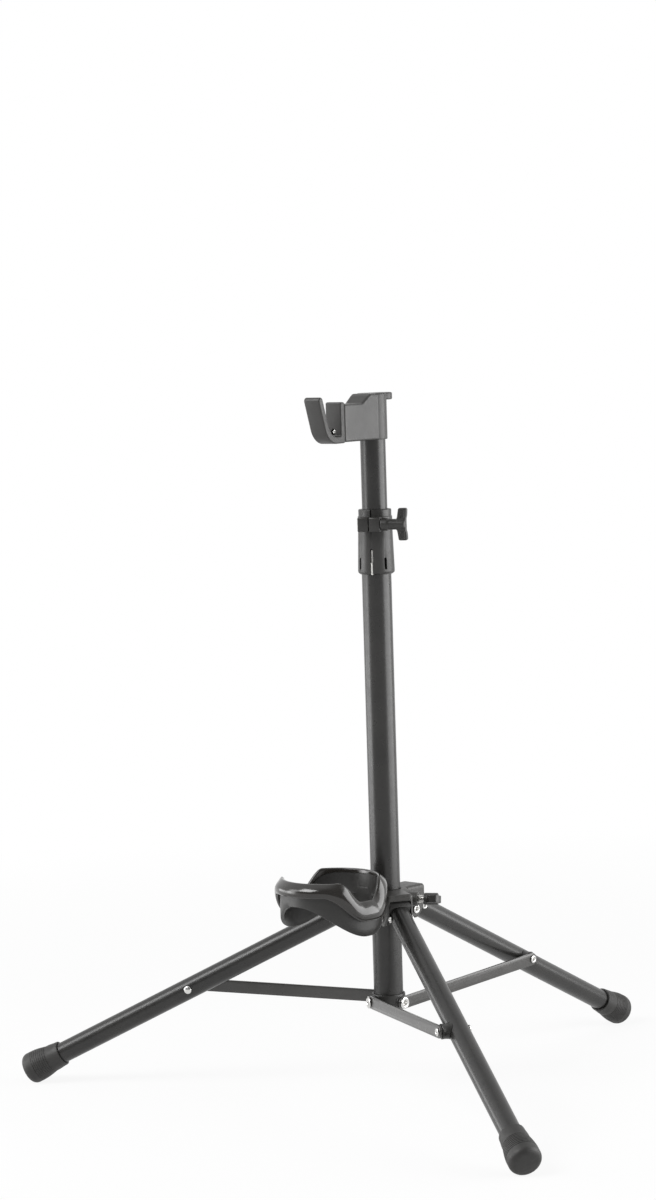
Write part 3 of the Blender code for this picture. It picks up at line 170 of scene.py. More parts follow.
def surface_finish(name, dark, light, gloss, metal=0.0, grain=(0.9, 0.03), patch=30.0, coat=0.0):
    """A finish whose tone and gloss drift in patches and fine smears, over a raised grain.

    The grain is its size and its depth, and the patch its size, in millimetres."""
    made = bpy.data.materials.new(name)
    made.use_nodes = True
    nodes = made.node_tree.nodes
    links = made.node_tree.links
    shader = nodes["Principled BSDF"]
    shader.inputs["Metallic"].default_value = metal
    shader.inputs["Coat Weight"].default_value = coat
    shader.inputs["Coat Roughness"].default_value = 0.12
    place = nodes.new("ShaderNodeTexCoord")
    patches = nodes.new("ShaderNodeTexNoise")
    patches.inputs["Scale"].default_value = 1.0 / (patch * MM)
    patches.inputs["Detail"].default_value = 5.0
    patches.inputs["Roughness"].default_value = 0.6
    tone = nodes.new("ShaderNodeValToRGB")
    tone.color_ramp.elements[0].position = 0.35
    tone.color_ramp.elements[0].color = (*dark, 1.0)
    tone.color_ramp.elements[1].position = 0.68
    tone.color_ramp.elements[1].color = (*light, 1.0)
    smears = nodes.new("ShaderNodeTexNoise")
    smears.inputs["Scale"].default_value = 3.0 / (patch * MM)
    smears.inputs["Detail"].default_value = 3.0
    smears.inputs["Distortion"].default_value = 1.5
    sheen = nodes.new("ShaderNodeMapRange")
    sheen.inputs["From Min"].default_value = 0.3
    sheen.inputs["From Max"].default_value = 0.7
    sheen.inputs["To Min"].default_value = gloss * 0.88
    sheen.inputs["To Max"].default_value = gloss * 1.14
    size, depth = grain
    peel = nodes.new("ShaderNodeTexNoise")
    peel.inputs["Scale"].default_value = 1.0 / (size * MM)
    peel.inputs["Detail"].default_value = 2.0
    bump = nodes.new("ShaderNodeBump")
    bump.inputs["Strength"].default_value = 0.6
    bump.inputs["Distance"].default_value = depth * MM
    for noise in (patches, smears, peel):
        links.new(place.outputs["Object"], noise.inputs["Vector"])
    links.new(patches.outputs["Fac"], tone.inputs["Fac"])
    links.new(tone.outputs["Color"], shader.inputs["Base Color"])
    links.new(smears.outputs["Fac"], sheen.inputs["Value"])
    links.new(sheen.outputs["Result"], shader.inputs["Roughness"])
    links.new(peel.outputs["Fac"], bump.inputs["Height"])
    links.new(bump.outputs["Normal"], shader.inputs["Normal"])
    return made


powder_coat = surface_finish(
    "powder_coat", (0.013, 0.0126, 0.012), (0.020, 0.0192, 0.018), 0.30, grain=(1.3, 0.02)
)
lower_tube = turned(
    "lower_tube_shell", tube_profile(COLUMN_R, COLUMN_WALL, COLUMN_FOOT, COLUMN_TOP), 96
)
smooth(settled(lower_tube, column))
fitted(lower_tube, powder_coat, "column", "column_paint", "lower_tube")

# Base collar and its rivets
# A moulded nylon cup on the foot of the column, with a flat boss for each strut. The struts
# turn on nickel-plated steel rivets, whose tubular heads are rolled over.

STRUT_PIN_Z = 85.1 * MM
STRUT_TILT = math.degrees(0.0504529)
COLLAR_R = 15.9 * MM
COLLAR_LOW = 78.4 * MM
COLLAR_HIGH = 93.1 * MM
COLLAR_FLOOR = 80.4 * MM
COLLAR_BORE_R = 14.3 * MM
COLLAR_FLAT = 16.5 * MM
COLLAR_BOSS_R = 6.5 * MM
STRUT_OUTER = 19.3 * MM
COLLAR_RIVET_HEAD_R = 5.8 * MM
COLLAR_RIVET_HEAD = 1.9 * MM
SMALL_RIVET_R = 2.5 * MM
LEG_TURNS = {"rear": 90.0, "left": 210.0, "front": 330.0}
leg_planes = {side: column @ turn(angle) for side, angle in LEG_TURNS.items()}
strut_axis = shift(z=STRUT_PIN_Z) @ turn(-STRUT_TILT, "Y")


def applied(obj, kind, **settings):
    """Adds a modifier to a piece and applies it."""
    only(obj)
    step = obj.modifiers.new(kind.lower(), kind)
    for setting, value in settings.items():
        setattr(step, setting, value)
    bpy.ops.object.modifier_apply(modifier=step.name)
    return obj


def joined(obj, other, operation="UNION"):
    """Joins another shape to a piece, or cuts it out of it, and puts the other away."""
    applied(obj, "BOOLEAN", operation=operation, solver="EXACT", object=other)
    put_away(other)
    return obj


def cut(obj, other):
    return joined(obj, other, "DIFFERENCE")


def moulded(obj, grain, rounds=3):
    """Gives a joined piece the small fillets of a moulding."""
    applied(obj, "REMESH", mode="VOXEL", voxel_size=grain)
    applied(obj, "SMOOTH", factor=0.5, iterations=rounds)
    return obj


def rod_profile(radius, start, end, edge=0.0):
    """A solid round bar whose ends have a small rounding."""
    if not edge:
        return [(0.0, start), (radius, start), (radius, end), (0.0, end)]
    low = bow((radius - edge, start + edge), edge, edge, -90.0, 0.0, 3)
    high = bow((radius - edge, end - edge), edge, edge, 0.0, 90.0, 3)
    return [(0.0, start)] + low + high + [(0.0, end)]


def rolled_head(radius, height, hollow):
    """Profile of a tubular rivet's rolled head, from its axis to its rim, underside at 0."""
    crown = 0.7 * radius
    points = [(0.0, height - hollow - 0.3 * radius), (0.36 * radius, height - hollow)]
    points += bow((crown, 0.45 * height), crown - 0.4 * radius, 0.55 * height, 160.0, 0.0, 9)
    outer = radius - crown
    points = points[:-4] + bow((crown, 0.45 * height), outer, 0.55 * height, 78.0, 0.0, 5)
    return points + [(radius - 0.06 * radius, 0.05 * height), (radius - 0.12 * radius, 0.0)]


nickel_plate = surface_finish(
    "nickel_plate",
    (0.60, 0.595, 0.58),
    (0.74, 0.735, 0.72),
    0.17,
    metal=1.0,
    grain=(0.5, 0.004),
    patch=4.0,
)
moulded_nylon = surface_finish(
    "moulded_nylon", (0.014, 0.0136, 0.0127), (0.022, 0.0213, 0.0199), 0.38, grain=(0.6, 0.02)
)
collar = turned(
    "base_collar_cup",
    [(0.0, COLLAR_LOW)]
    + bow((COLLAR_R - MM, COLLAR_LOW + MM), MM, MM, -90.0, 0.0, 4)
    + bow((COLLAR_R - 0.6 * MM, COLLAR_HIGH - 0.6 * MM), 0.6 * MM, 0.6 * MM, 0.0, 90.0, 4)
    + [
        (COLLAR_BORE_R + 0.2 * MM, COLLAR_HIGH),
        (COLLAR_BORE_R, COLLAR_HIGH - 0.2 * MM),
        (COLLAR_BORE_R, COLLAR_FLOOR),
        (0.0, COLLAR_FLOOR),
    ],
)
for angle in LEG_TURNS.values():
    boss = turned(
        "collar_boss", rod_profile(COLLAR_BOSS_R, COLLAR_BORE_R + 0.3 * MM, COLLAR_FLAT, 0.4 * MM)
    )
    joined(collar, settled(boss, turn(angle) @ strut_axis @ against_y))
moulded(collar, 0.42 * MM)
smooth(settled(collar, column), 60.0)
fitted(collar, moulded_nylon, "column", "base_plastic", "base_collar")
collar_rivet = turned(
    "collar_rivet",
    rolled_head(COLLAR_RIVET_HEAD_R, COLLAR_RIVET_HEAD, 2.6 * MM)
    + [(SMALL_RIVET_R, 0.0), (SMALL_RIVET_R, -7.8 * MM), (0.0, -7.8 * MM)],
    48,
)
settled(collar_rivet, strut_axis @ shift(y=-(STRUT_OUTER + 0.3 * MM)) @ against_y)
for side, plane in leg_planes.items():
    rivet = stood(collar_rivet, "collar_rivet_head_" + side, plane)
    fitted(rivet, nickel_plate, "column", "chrome", "collar_rivet_" + side)
put_away(collar_rivet)

# Legs
# Round steel tubes in the column's satin black. A nylon plug closes the upper end of each and
# carries its hinge, held by a rivet with a rolled head on each side.

LEG_TILT = 26.7
LEG_R = 10.0 * MM
LEG_WALL = 1.2 * MM
LEG_START = 9.0 * MM
LEG_END = 358.0 * MM
LEG_RISE = 7.6 * MM
PIVOT_RADIUS = 28.0 * MM
PIVOT_Z = 170.674 * MM
PLUG_HALF = 10.2 * MM
PLUG_NOSE_R = 7.5 * MM
PLUG_SPIGOT_R = 8.5 * MM
PLUG_RIVET_AT = 13.8 * MM
PLUG_RIVET_R = 2.0 * MM
PLUG_RIVET_HEAD_R = 3.2 * MM
CAP_STOP = 16.1 * MM
leg_axis = shift(x=PIVOT_RADIUS, z=PIVOT_Z) @ turn(LEG_TILT, "Y")
tube_axis = leg_axis @ shift(z=LEG_RISE) @ along_x


def two_headed(head_r, head, hollow, shank_r, grip):
    """Profile of a rivet with a rolled head at each end, its middle at 0."""
    upper = [(r, z + grip / 2) for r, z in rolled_head(head_r, head, hollow)]
    lower = [(r, -z) for r, z in reversed(upper)]
    return upper + [(shank_r, grip / 2), (shank_r, -grip / 2)] + lower


def drawn(name, points, depth):
    """An outline of (x, y) points, drawn corner by corner and raised by depth along +Z."""
    bpy.ops.object.select_all(action="DESELECT")
    bpy.ops.mesh.primitive_plane_add(size=MM)
    made = settled(bpy.context.object, shift(*points[0]))
    made.name = name
    bpy.ops.object.mode_set(mode="EDIT")
    bpy.ops.mesh.select_mode(type="VERT")
    bpy.ops.mesh.select_all(action="SELECT")
    bpy.ops.mesh.merge(type="CENTER")
    for before, after in zip(points, points[1:]):
        step = (after[0] - before[0], after[1] - before[1], 0.0)
        bpy.ops.mesh.extrude_region_move(TRANSFORM_OT_translate={"value": step})
    bpy.ops.mesh.select_all(action="SELECT")
    bpy.ops.mesh.edge_face_add()
    bpy.ops.mesh.extrude_region_move(TRANSFORM_OT_translate={"value": (0.0, 0.0, depth)})
    return closed(made)


leg = turned("leg_tube_shell", tube_profile(LEG_R, LEG_WALL, LEG_START, LEG_END), 72)
settled(leg, tube_axis)
shoulder = LEG_START - 0.3 * MM
tilt = math.radians(LEG_TILT)
nose = bow((0.0, 0.0), PLUG_NOSE_R, PLUG_NOSE_R, 110.0, 300.0, 20)
nose += [(shoulder, LEG_RISE - LEG_R), (shoulder, LEG_RISE + LEG_R)]
for out in (12.4 * MM, 6.0 * MM):
    nose.append(
        (
            out * math.cos(tilt) - CAP_STOP * math.sin(tilt),
            out * math.sin(tilt) + CAP_STOP * math.cos(tilt),
        )
    )
plug = drawn("leg_plug_nose", nose, 2 * PLUG_HALF)
settled(plug, shift(y=PLUG_HALF) @ against_y)
applied(plug, "BEVEL", width=0.5 * MM, segments=2, limit_method="ANGLE")
spigot = turned("leg_plug_spigot", rod_profile(PLUG_SPIGOT_R, LEG_START - MM, 33.0 * MM, MM), 48)
joined(plug, settled(spigot, shift(z=LEG_RISE) @ along_x))
settled(plug, leg_axis)
plug_rivet = turned(
    "plug_rivet",
    two_headed(PLUG_RIVET_HEAD_R, 1.5 * MM, 2.2 * MM, PLUG_RIVET_R, 2 * LEG_R + 0.3 * MM),
    36,
)
settled(plug_rivet, leg_axis @ shift(x=PLUG_RIVET_AT, z=LEG_RISE) @ along_y)
for side, plane in leg_planes.items():
    body = "leg_" + side
    shell = stood(leg, "leg_shell_" + side, plane)
    fitted(shell, powder_coat, body, "leg_paint", "leg_tube_" + side)
    hinge = stood(plug, "leg_hinge_plug_" + side, plane)
    fitted(hinge, moulded_nylon, body, "base_plastic", "leg_plug_" + side)
    heads = stood(plug_rivet, "plug_rivet_heads_" + side, plane)
    fitted(heads, nickel_plate, body, "chrome", "plug_rivet_" + side)
put_away(leg, plug, plug_rivet)

# Bushes and their long rivets
# A nylon bush sits saddle-wise on the side of each leg and keeps its strut clear. A plated
# rivet runs through leg and bush, with a domed head on the far side.

STRUT_PIN_ON_LEG = 183.6 * MM
STRUT_INNER = 16.8 * MM
BUSH_END = 16.5 * MM
BUSH_WAIST_R = 6.9 * MM
BUSH_RIM_R = 7.1 * MM
BUSH_FOOT_R = 7.7 * MM
DOME_R = 3.8 * MM
DOME_RISE = 2.2 * MM
pin_axis = leg_axis @ shift(x=STRUT_PIN_ON_LEG, z=LEG_RISE)
bush = turned(
    "bush",
    [
        (2.8 * MM, 4.5 * MM),
        (BUSH_FOOT_R, 4.5 * MM),
        (BUSH_FOOT_R, 8.2 * MM),
        (BUSH_FOOT_R - 0.5 * MM, 9.3 * MM),
        (BUSH_WAIST_R + 0.2 * MM, 10.6 * MM),
        (BUSH_WAIST_R, 12.0 * MM),
        (BUSH_WAIST_R, BUSH_END - 2.0 * MM),
        (BUSH_RIM_R - 0.1 * MM, BUSH_END - 1.6 * MM),
        (BUSH_RIM_R, BUSH_END - 0.4 * MM),
        (BUSH_RIM_R - 0.3 * MM, BUSH_END),
        (3.0 * MM, BUSH_END),
        (2.8 * MM, BUSH_END - 0.2 * MM),
    ],
    48,
)
settled(bush, against_y)
saddle = turned("bush_saddle", rod_profile(LEG_R + 0.3 * MM, -20.0 * MM, 20.0 * MM), 72)
cut(bush, settled(saddle, along_x))
settled(bush, pin_axis)
long_rivet = turned(
    "long_rivet",
    [(0.0, DOME_RISE), (0.06 * DOME_R, DOME_RISE)]
    + bow((0.0, 0.35 * MM), DOME_R, DOME_RISE - 0.35 * MM, 80.0, 0.0, 8)
    + [
        (DOME_R - 0.15 * MM, 0.1 * MM),
        (SMALL_RIVET_R, 0.1 * MM),
        (SMALL_RIVET_R, -(LEG_R + BUSH_END - 0.3 * MM)),
        (0.0, -(LEG_R + BUSH_END - 0.3 * MM)),
    ],
    36,
)
settled(long_rivet, pin_axis @ shift(y=LEG_R + 0.3 * MM) @ along_y)
for side, plane in leg_planes.items():
    body = "leg_" + side
    ring = stood(bush, "strut_bush_" + side, plane)
    fitted(ring, moulded_nylon, body, "base_plastic", "strut_spacer_" + side)
    dome = stood(long_rivet, "long_rivet_" + side, plane)
    fitted(dome, nickel_plate, body, "chrome", "leg_rivet_" + side)
put_away(bush, long_rivet)

# Foot caps
# Each is a black rubber moulding pushed over the end of its leg. Fine ribs ring its bulb, and
# the toe is pressed flat on the floor.

FOOT_START = 330.3 * MM
FOOT_LENGTH = 40.9 * MM
FOOT_BORE_DEPTH = 28.0 * MM
FOOT_MOUTH_R = 12.1 * MM
FOOT_WAIST_R = 13.0 * MM
FOOT_BULB_R = 15.3 * MM
FOOT_TOE_R = 6.4 * MM
FOOT_SWELL = (13.0 * MM, 29.5 * MM)
FOOT_RIBS = 8
FOOT_RIB_DEPTH = 0.38 * MM

foot_rubber = surface_finish(
    "foot_rubber", (0.017, 0.0164, 0.0155), (0.027, 0.026, 0.0244), 0.55, grain=(0.8, 0.04)
)
swell_start, swell_end = FOOT_SWELL
profile = [
    (0.0, FOOT_BORE_DEPTH),
    (LEG_R + 0.2 * MM, FOOT_BORE_DEPTH),
    (LEG_R + 0.2 * MM, 0.5 * MM),
    (LEG_R + 0.6 * MM, 0.0),
]
profile += bow((FOOT_MOUTH_R - 0.6 * MM, 0.6 * MM), 0.6 * MM, 0.6 * MM, -90.0, 0.0, 4)
profile += [
    (FOOT_MOUTH_R + 0.1 * MM, 2.4 * MM),
    (FOOT_MOUTH_R + 0.3 * MM, 4.6 * MM),
    (FOOT_WAIST_R - 0.3 * MM, 7.0 * MM),
    (FOOT_WAIST_R, 10.0 * MM),
    (FOOT_WAIST_R, swell_start),
]
pitch = (swell_end - swell_start) / FOOT_RIBS
for rib in range(FOOT_RIBS):
    for share, sunk in ((0.12, 0.0), (0.24, 1.0), (0.42, 1.0), (0.54, 0.0), (0.98, 0.0)):
        done = (rib + share) / FOOT_RIBS
        radius = FOOT_WAIST_R + (FOOT_BULB_R - FOOT_WAIST_R) * math.sin(math.pi * done / 2)
        profile.append((radius - sunk * FOOT_RIB_DEPTH, swell_start + (rib + share) * pitch))
profile += bow(
    (FOOT_BULB_R - FOOT_TOE_R, FOOT_LENGTH - 0.8 * MM - FOOT_TOE_R),
    FOOT_TOE_R,
    FOOT_TOE_R,
    0.0,
    86.0,
    12,
)
profile += [(0.35 * FOOT_BULB_R, FOOT_LENGTH - 0.2 * MM), (2.0 * MM, FOOT_LENGTH)]
foot = turned("foot_cap", profile + [(0.0, FOOT_LENGTH)], 72)
settled(foot, tube_axis @ shift(z=FOOT_START))
only(foot)
bpy.ops.object.mode_set(mode="EDIT")
bpy.ops.mesh.select_all(action="SELECT")
bpy.ops.mesh.bisect(
    plane_co=(0.0, 0.0, 0.0),
    plane_no=(0.0, 0.0, 1.0),
    use_fill=True,
    clear_inner=True,
    threshold=0.001 * MM,
)
closed(foot)
for side, plane in leg_planes.items():
    cap = stood(foot, "rubber_foot_" + side, plane)
    fitted(cap, foot_rubber, "leg_" + side, "foot_rubber", "foot_cap_" + side)
put_away(foot)

# Struts with their rivets
# Flat steel bars with round ends, coated like the tubes. A short rivet with a rolled head
# holds the outer end of each against its bush.

STRUT_LENGTH = 195.687 * MM
STRUT_WIDTH = 12.0 * MM
STRUT_THICK = 2.5 * MM
STRUT_RIVET_HEAD_R = 3.8 * MM

# The struts carry the tubes' paint, but with a lighter base colour that stands in for the light the
# flat bars catch. This is painted light.
strut_coat = surface_finish(
    "strut_coat",
    (0.028, 0.027, 0.025),
    (0.040, 0.0385, 0.036),
    0.30,
    grain=(1.0, 0.025),
    coat=0.45,
)
bpy.ops.object.select_all(action="DESELECT")
bpy.ops.mesh.primitive_cylinder_add(vertices=64, radius=STRUT_WIDTH / 2, depth=STRUT_THICK)
strut = bpy.context.object
bpy.ops.object.mode_set(mode="EDIT")
bpy.ops.mesh.select_mode(type="VERT")
bpy.ops.mesh.select_all(action="DESELECT")
bar = bmesh.from_edit_mesh(strut.data)
for corner in bar.verts:
    corner.select_set(corner.co.x > -0.001 * MM)
bpy.ops.transform.translate(value=(STRUT_LENGTH, 0.0, 0.0))
closed(strut)
applied(strut, "BEVEL", width=0.45 * MM, segments=3, limit_method="ANGLE")
for at in (0.0, STRUT_LENGTH):
    hole = turned("strut_hole", rod_profile(SMALL_RIVET_R + 0.3 * MM, -5.0 * MM, 5.0 * MM), 32)
    cut(strut, settled(hole, shift(x=at)))
settled(strut, strut_axis @ shift(y=-(STRUT_INNER + STRUT_THICK / 2)) @ against_y)
short_rivet = turned(
    "short_rivet",
    rolled_head(STRUT_RIVET_HEAD_R, 1.5 * MM, 2.4 * MM)
    + [(SMALL_RIVET_R, 0.0), (SMALL_RIVET_R, -2.8 * MM), (0.0, -2.8 * MM)],
    36,
)
settled(short_rivet, strut_axis @ shift(x=STRUT_LENGTH, y=-(STRUT_OUTER + 0.3 * MM)) @ against_y)
for side, plane in leg_planes.items():
    body = "strut_" + side + "_arm"
    flat = stood(strut, "strut_bar_" + side, plane)
    fitted(flat, strut_coat, body, "strut_paint", "strut_" + side)
    head = stood(short_rivet, "short_rivet_" + side, plane)
    fitted(head, nickel_plate, body, "chrome", "strut_rivet_" + side)
put_away(strut, short_rivet)

# Hub with its rivets
# A moulding in glass-filled nylon, greyer than the tubes, that slides on the column. Three
# pairs of rounded ears hang under its cap, and each pair holds the plug of a leg.

HUB_TOP = 193.674 * MM
HUB_CAP_R = 21.0 * MM
HUB_CAP_THICK = 6.6 * MM
HUB_SLEEVE_R = 19.0 * MM
HUB_SLEEVE_BELOW = 7.0 * MM
HUB_EDGE = 3.0 * MM
HUB_BORE_R = 14.3 * MM
LOBE_BEYOND_PIVOT = 14.5 * MM
CAP_ABOVE_PIVOT = 23.0 * MM
EAR_R = 8.5 * MM
EAR_INNER = 10.5 * MM
EAR_OUTER = 13.2 * MM
EAR_DROP = 4.7 * MM
PIVOT_RIVET_R = 2.6 * MM
PIVOT_RIVET_HEAD_R = 4.3 * MM
HUB_SCREW_TURN = 30.0
HUB_SCREW_ABOVE_PIVOT = 12.8 * MM
HUB_SCREW_R = 4.0 * MM
HUB_BOSS_R = 7.0 * MM
HUB_BOSS_END = 31.5 * MM
TONGUE_HALF = 12.0 * MM
TONGUE_FACE = 28.7 * MM
TONGUE_DEPTH = 21.0 * MM


def slab(name, low, high):
    """A box between two corners."""
    bpy.ops.object.select_all(action="DESELECT")
    bpy.ops.mesh.primitive_cube_add(size=1.0)
    made = bpy.context.object
    made.name = name
    middle = (Vector(low) + Vector(high)) / 2
    return settled(made, shift(*middle) @ Matrix.Diagonal((*(Vector(high) - Vector(low)), 1.0)))


def rounded(obj, width, segments=3):
    return applied(
        obj, "BEVEL", width=width, segments=segments, limit_method="ANGLE", angle_limit=0.6
    )


filled_nylon = surface_finish(
    "filled_nylon", (0.031, 0.030, 0.028), (0.044, 0.0425, 0.0395), 0.42, grain=(0.8, 0.02)
)
hub = turned(
    "hub_moulding",
    [(0.0, PIVOT_Z - HUB_SLEEVE_BELOW), (HUB_SLEEVE_R, PIVOT_Z - HUB_SLEEVE_BELOW)]
    + [(HUB_SLEEVE_R, HUB_TOP - HUB_CAP_THICK), (HUB_CAP_R, HUB_TOP - HUB_CAP_THICK)]
    + bow((HUB_CAP_R - HUB_EDGE, HUB_TOP - HUB_EDGE), HUB_EDGE, HUB_EDGE, 0.0, 90.0, 6)
    + [(0.0, HUB_TOP)],
    96,
)
lobe_inner = HUB_SLEEVE_R - 2.0 * MM - PIVOT_RADIUS
lobe_outline = [(lobe_inner, CAP_ABOVE_PIVOT), (lobe_inner, 0.0)]
lobe_outline += bow((0.0, 0.0), EAR_R, EAR_R, 180.0, 330.0, 24)
lobe_outline += [(LOBE_BEYOND_PIVOT, EAR_DROP), (LOBE_BEYOND_PIVOT, CAP_ABOVE_PIVOT)]
lobe = drawn("hub_lobe", lobe_outline, 2 * EAR_OUTER)
only(lobe)
bpy.ops.object.mode_set(mode="EDIT")
bpy.ops.mesh.select_mode(type="EDGE")
bpy.ops.mesh.select_all(action="DESELECT")
rim = bmesh.from_edit_mesh(lobe.data)
for edge in rim.edges:
    here, there = (corner.co for corner in edge.verts)
    on_top = min(here.y, there.y) > CAP_ABOVE_PIVOT - 0.01 * MM
    on_end = min(here.x, there.x) > LOBE_BEYOND_PIVOT - 0.01 * MM and here.z == there.z
    inside = max(here.x, there.x) < lobe_inner + 0.01 * MM
    edge.select_set((on_top or on_end) and not inside)
bpy.ops.mesh.bevel(offset=HUB_EDGE, segments=5, profile=0.5, affect="EDGES")
closed(lobe)
settled(lobe, shift(x=PIVOT_RADIUS, y=EAR_OUTER, z=PIVOT_Z) @ against_y)
for angle in LEG_TURNS.values():
    joined(hub, stood(lobe, "lobe", turn(angle)))
put_away(lobe)
hub_screw_axis = shift(z=PIVOT_Z + HUB_SCREW_ABOVE_PIVOT) @ turn(HUB_SCREW_TURN)
boss = turned("hub_boss", rod_profile(HUB_BOSS_R, 16.0 * MM, HUB_BOSS_END, 0.9 * MM), 48)
joined(hub, settled(boss, hub_screw_axis @ along_x))
tongue = slab(
    "hub_tongue",
    (-TONGUE_HALF, -TONGUE_FACE, HUB_TOP - TONGUE_DEPTH),
    (TONGUE_HALF, -16.0 * MM, HUB_TOP - 1.5 * MM),
)
joined(hub, rounded(tongue, 0.8 * MM))
bore = turned("hub_bore", rod_profile(HUB_BORE_R, PIVOT_Z - 0.02, HUB_TOP + 0.005), 96)
cut(hub, bore)
for angle in LEG_TURNS.values():
    slot = slab(
        "ear_slot",
        (HUB_SLEEVE_R + 0.4 * MM, -EAR_INNER, PIVOT_Z - EAR_R - 3.0 * MM),
        (PIVOT_RADIUS + LOBE_BEYOND_PIVOT + 5.0 * MM, EAR_INNER, HUB_TOP - HUB_CAP_THICK),
    )
    cut(hub, settled(slot, turn(angle)))
    hole = turned("ear_hole", rod_profile(PIVOT_RIVET_R + 0.3 * MM, -0.02, 0.02), 32)
    cut(hub, settled(hole, turn(angle) @ shift(x=PIVOT_RADIUS, z=PIVOT_Z) @ against_y))
hole = turned("screw_hole", rod_profile(HUB_SCREW_R + 0.3 * MM, 13.0 * MM, 33.0 * MM), 36)
cut(hub, settled(hole, hub_screw_axis @ along_x))
moulded(hub, 0.7 * MM)
smooth(settled(hub, column), 60.0)
fitted(hub, filled_nylon, "hub", "hub_plastic", "hub")
pivot_rivet = turned(
    "pivot_rivet",
    two_headed(
        PIVOT_RIVET_HEAD_R, 1.5 * MM, 2.4 * MM, PIVOT_RIVET_R, 2 * (EAR_OUTER + 0.3 * MM)
    ),
    40,
)
settled(pivot_rivet, shift(x=PIVOT_RADIUS, z=PIVOT_Z) @ along_y)
for side, plane in leg_planes.items():
    heads = stood(pivot_rivet, "pivot_rivet_heads_" + side, plane)
    fitted(heads, nickel_plate, "hub", "chrome", "pivot_rivet_" + side)
put_away(pivot_rivet)

# Wing screw of the hub
# A plated steel stud with a rolled metric thread, and a black wing head moulded on it. It
# presses on the column and holds the hub at its height.

HUB_SCREW_FROM = 14.3 * MM
HUB_WING_START = 37.3 * MM
HUB_WING_TURN = 78.0
HUB_THREAD_PITCH = 1.25 * MM


def threaded(name, radius, pitch, start, end, plain=0.0):
    """A stud about +Z with a helical thread, plain over its first stretch."""
    ridge_r = 0.9 * pitch / math.sqrt(3.0)
    turns = int((end - start - plain - 0.6 * MM) / pitch)
    bpy.ops.object.select_all(action="DESELECT")
    bpy.ops.mesh.primitive_circle_add(vertices=3, radius=ridge_r)
    ridge = bpy.context.object
    place = shift(x=radius - ridge_r, z=start + plain + 0.3 * MM + 0.5 * pitch)
    settled(ridge, place @ turn(90.0, "X") @ turn(-90.0))
    applied(
        ridge,
        "SCREW",
        angle=math.tau,
        screw_offset=pitch,
        iterations=turns - 1,
        steps=24,
        render_steps=24,
        use_merge_vertices=True,
    )
    bpy.ops.object.mode_set(mode="EDIT")
    bpy.ops.mesh.select_mode(type="VERT")
    bpy.ops.mesh.select_all(action="SELECT")
    bpy.ops.mesh.fill_holes(sides=3)
    closed(ridge)
    core = turned(name, rod_profile(radius - 0.6 * pitch, start, end, 0.4 * MM), 24)
    return joined(core, ridge)


def wing_head(name, foot, barrel_r, neck, span, length, thick, hollow, bore):
    """A moulded wing head about +Z: a barrel with a wider foot, and two wings above its neck,
    with a shallow pocket in each wing face."""
    foot_r, foot_length = foot
    bore_r, bore_depth = bore
    end = neck + length
    half = span / 2
    tip = 0.19 * length
    low = neck + 0.12 * length
    shape = [(0.8 * barrel_r, neck - 2.0 * MM), (barrel_r + 0.8 * MM, neck)]
    shape += bow((half - tip, low + tip), tip, tip, -90.0, 0.0, 6)
    shape += bow((half - tip, end - tip), tip, tip, 0.0, 80.0, 6)
    shape += [(0.55 * half, end - 0.04 * length), (0.35 * half, end - 0.12 * length)]
    shape += [(-x, y) for x, y in reversed(shape)]
    wings = drawn(name + "_wings", shape, thick)
    rounded(settled(wings, shift(y=thick / 2) @ against_y), 0.9 * MM, 4)
    settled(wings, turn(180.0, "X") @ turn(180.0, "X"))
    profile = [(0.0, 0.0)] + bow((foot_r - 0.5 * MM, 0.5 * MM), 0.5 * MM, 0.5 * MM, -90.0, 0.0, 3)
    if foot_r > barrel_r:
        profile += [(foot_r, foot_length - 1.5 * MM), (barrel_r, foot_length)]
    top = end - hollow
    profile += bow((barrel_r - 1.2 * MM, top - 1.2 * MM), 1.2 * MM, 1.2 * MM, 0.0, 90.0, 4)
    barrel = turned(name, profile + [(0.0, top)], 48)
    joined(barrel, wings)
    cut(barrel, turned("bore", rod_profile(bore_r, -MM, bore_depth), 32))
    for face in (-1, 1):
        for side in (-1, 1):
            across = sorted((side * (barrel_r + 1.3 * MM), side * (half - 2.0 * MM)))
            depth = sorted((face * (thick / 2 - 1.0 * MM), face * (thick / 2 + MM)))
            pocket = slab(
                "wing_pocket",
                (across[0], depth[0], neck + 0.34 * length),
                (across[1], depth[1], neck + 0.76 * length),
            )
            cut(barrel, pocket)
    return moulded(barrel, 0.36 * MM)


wing_axis = column @ hub_screw_axis @ shift(x=HUB_WING_START)
wing = wing_head(
    "hub_wing_head",
    foot=(5.9 * MM, 4.4 * MM),
    barrel_r=5.9 * MM,
    neck=4.4 * MM,
    span=25.0 * MM,
    length=9.8 * MM,
    thick=7.4 * MM,
    hollow=0.8 * MM,
    bore=(4.3 * MM, 8.3 * MM),
)
smooth(settled(wing, wing_axis @ turn(HUB_WING_TURN, "X") @ along_x), 60.0)
fitted(wing, moulded_nylon, "hub_knob", "clamp_plastic", "hub_wing")
stud = threaded(
    "hub_stud", HUB_SCREW_R, HUB_THREAD_PITCH, HUB_SCREW_FROM, HUB_WING_START + 8.0 * MM
)
smooth(settled(stud, column @ hub_screw_axis @ along_x), 25.0)
fitted(stud, nickel_plate, "hub_knob", "chrome", "hub_screw")

# Cradle with its screws
# A saddle-shaped band moulded in hard black plastic. A thicker tab at its back is held on the
# hub's tongue by two cross-head screws.

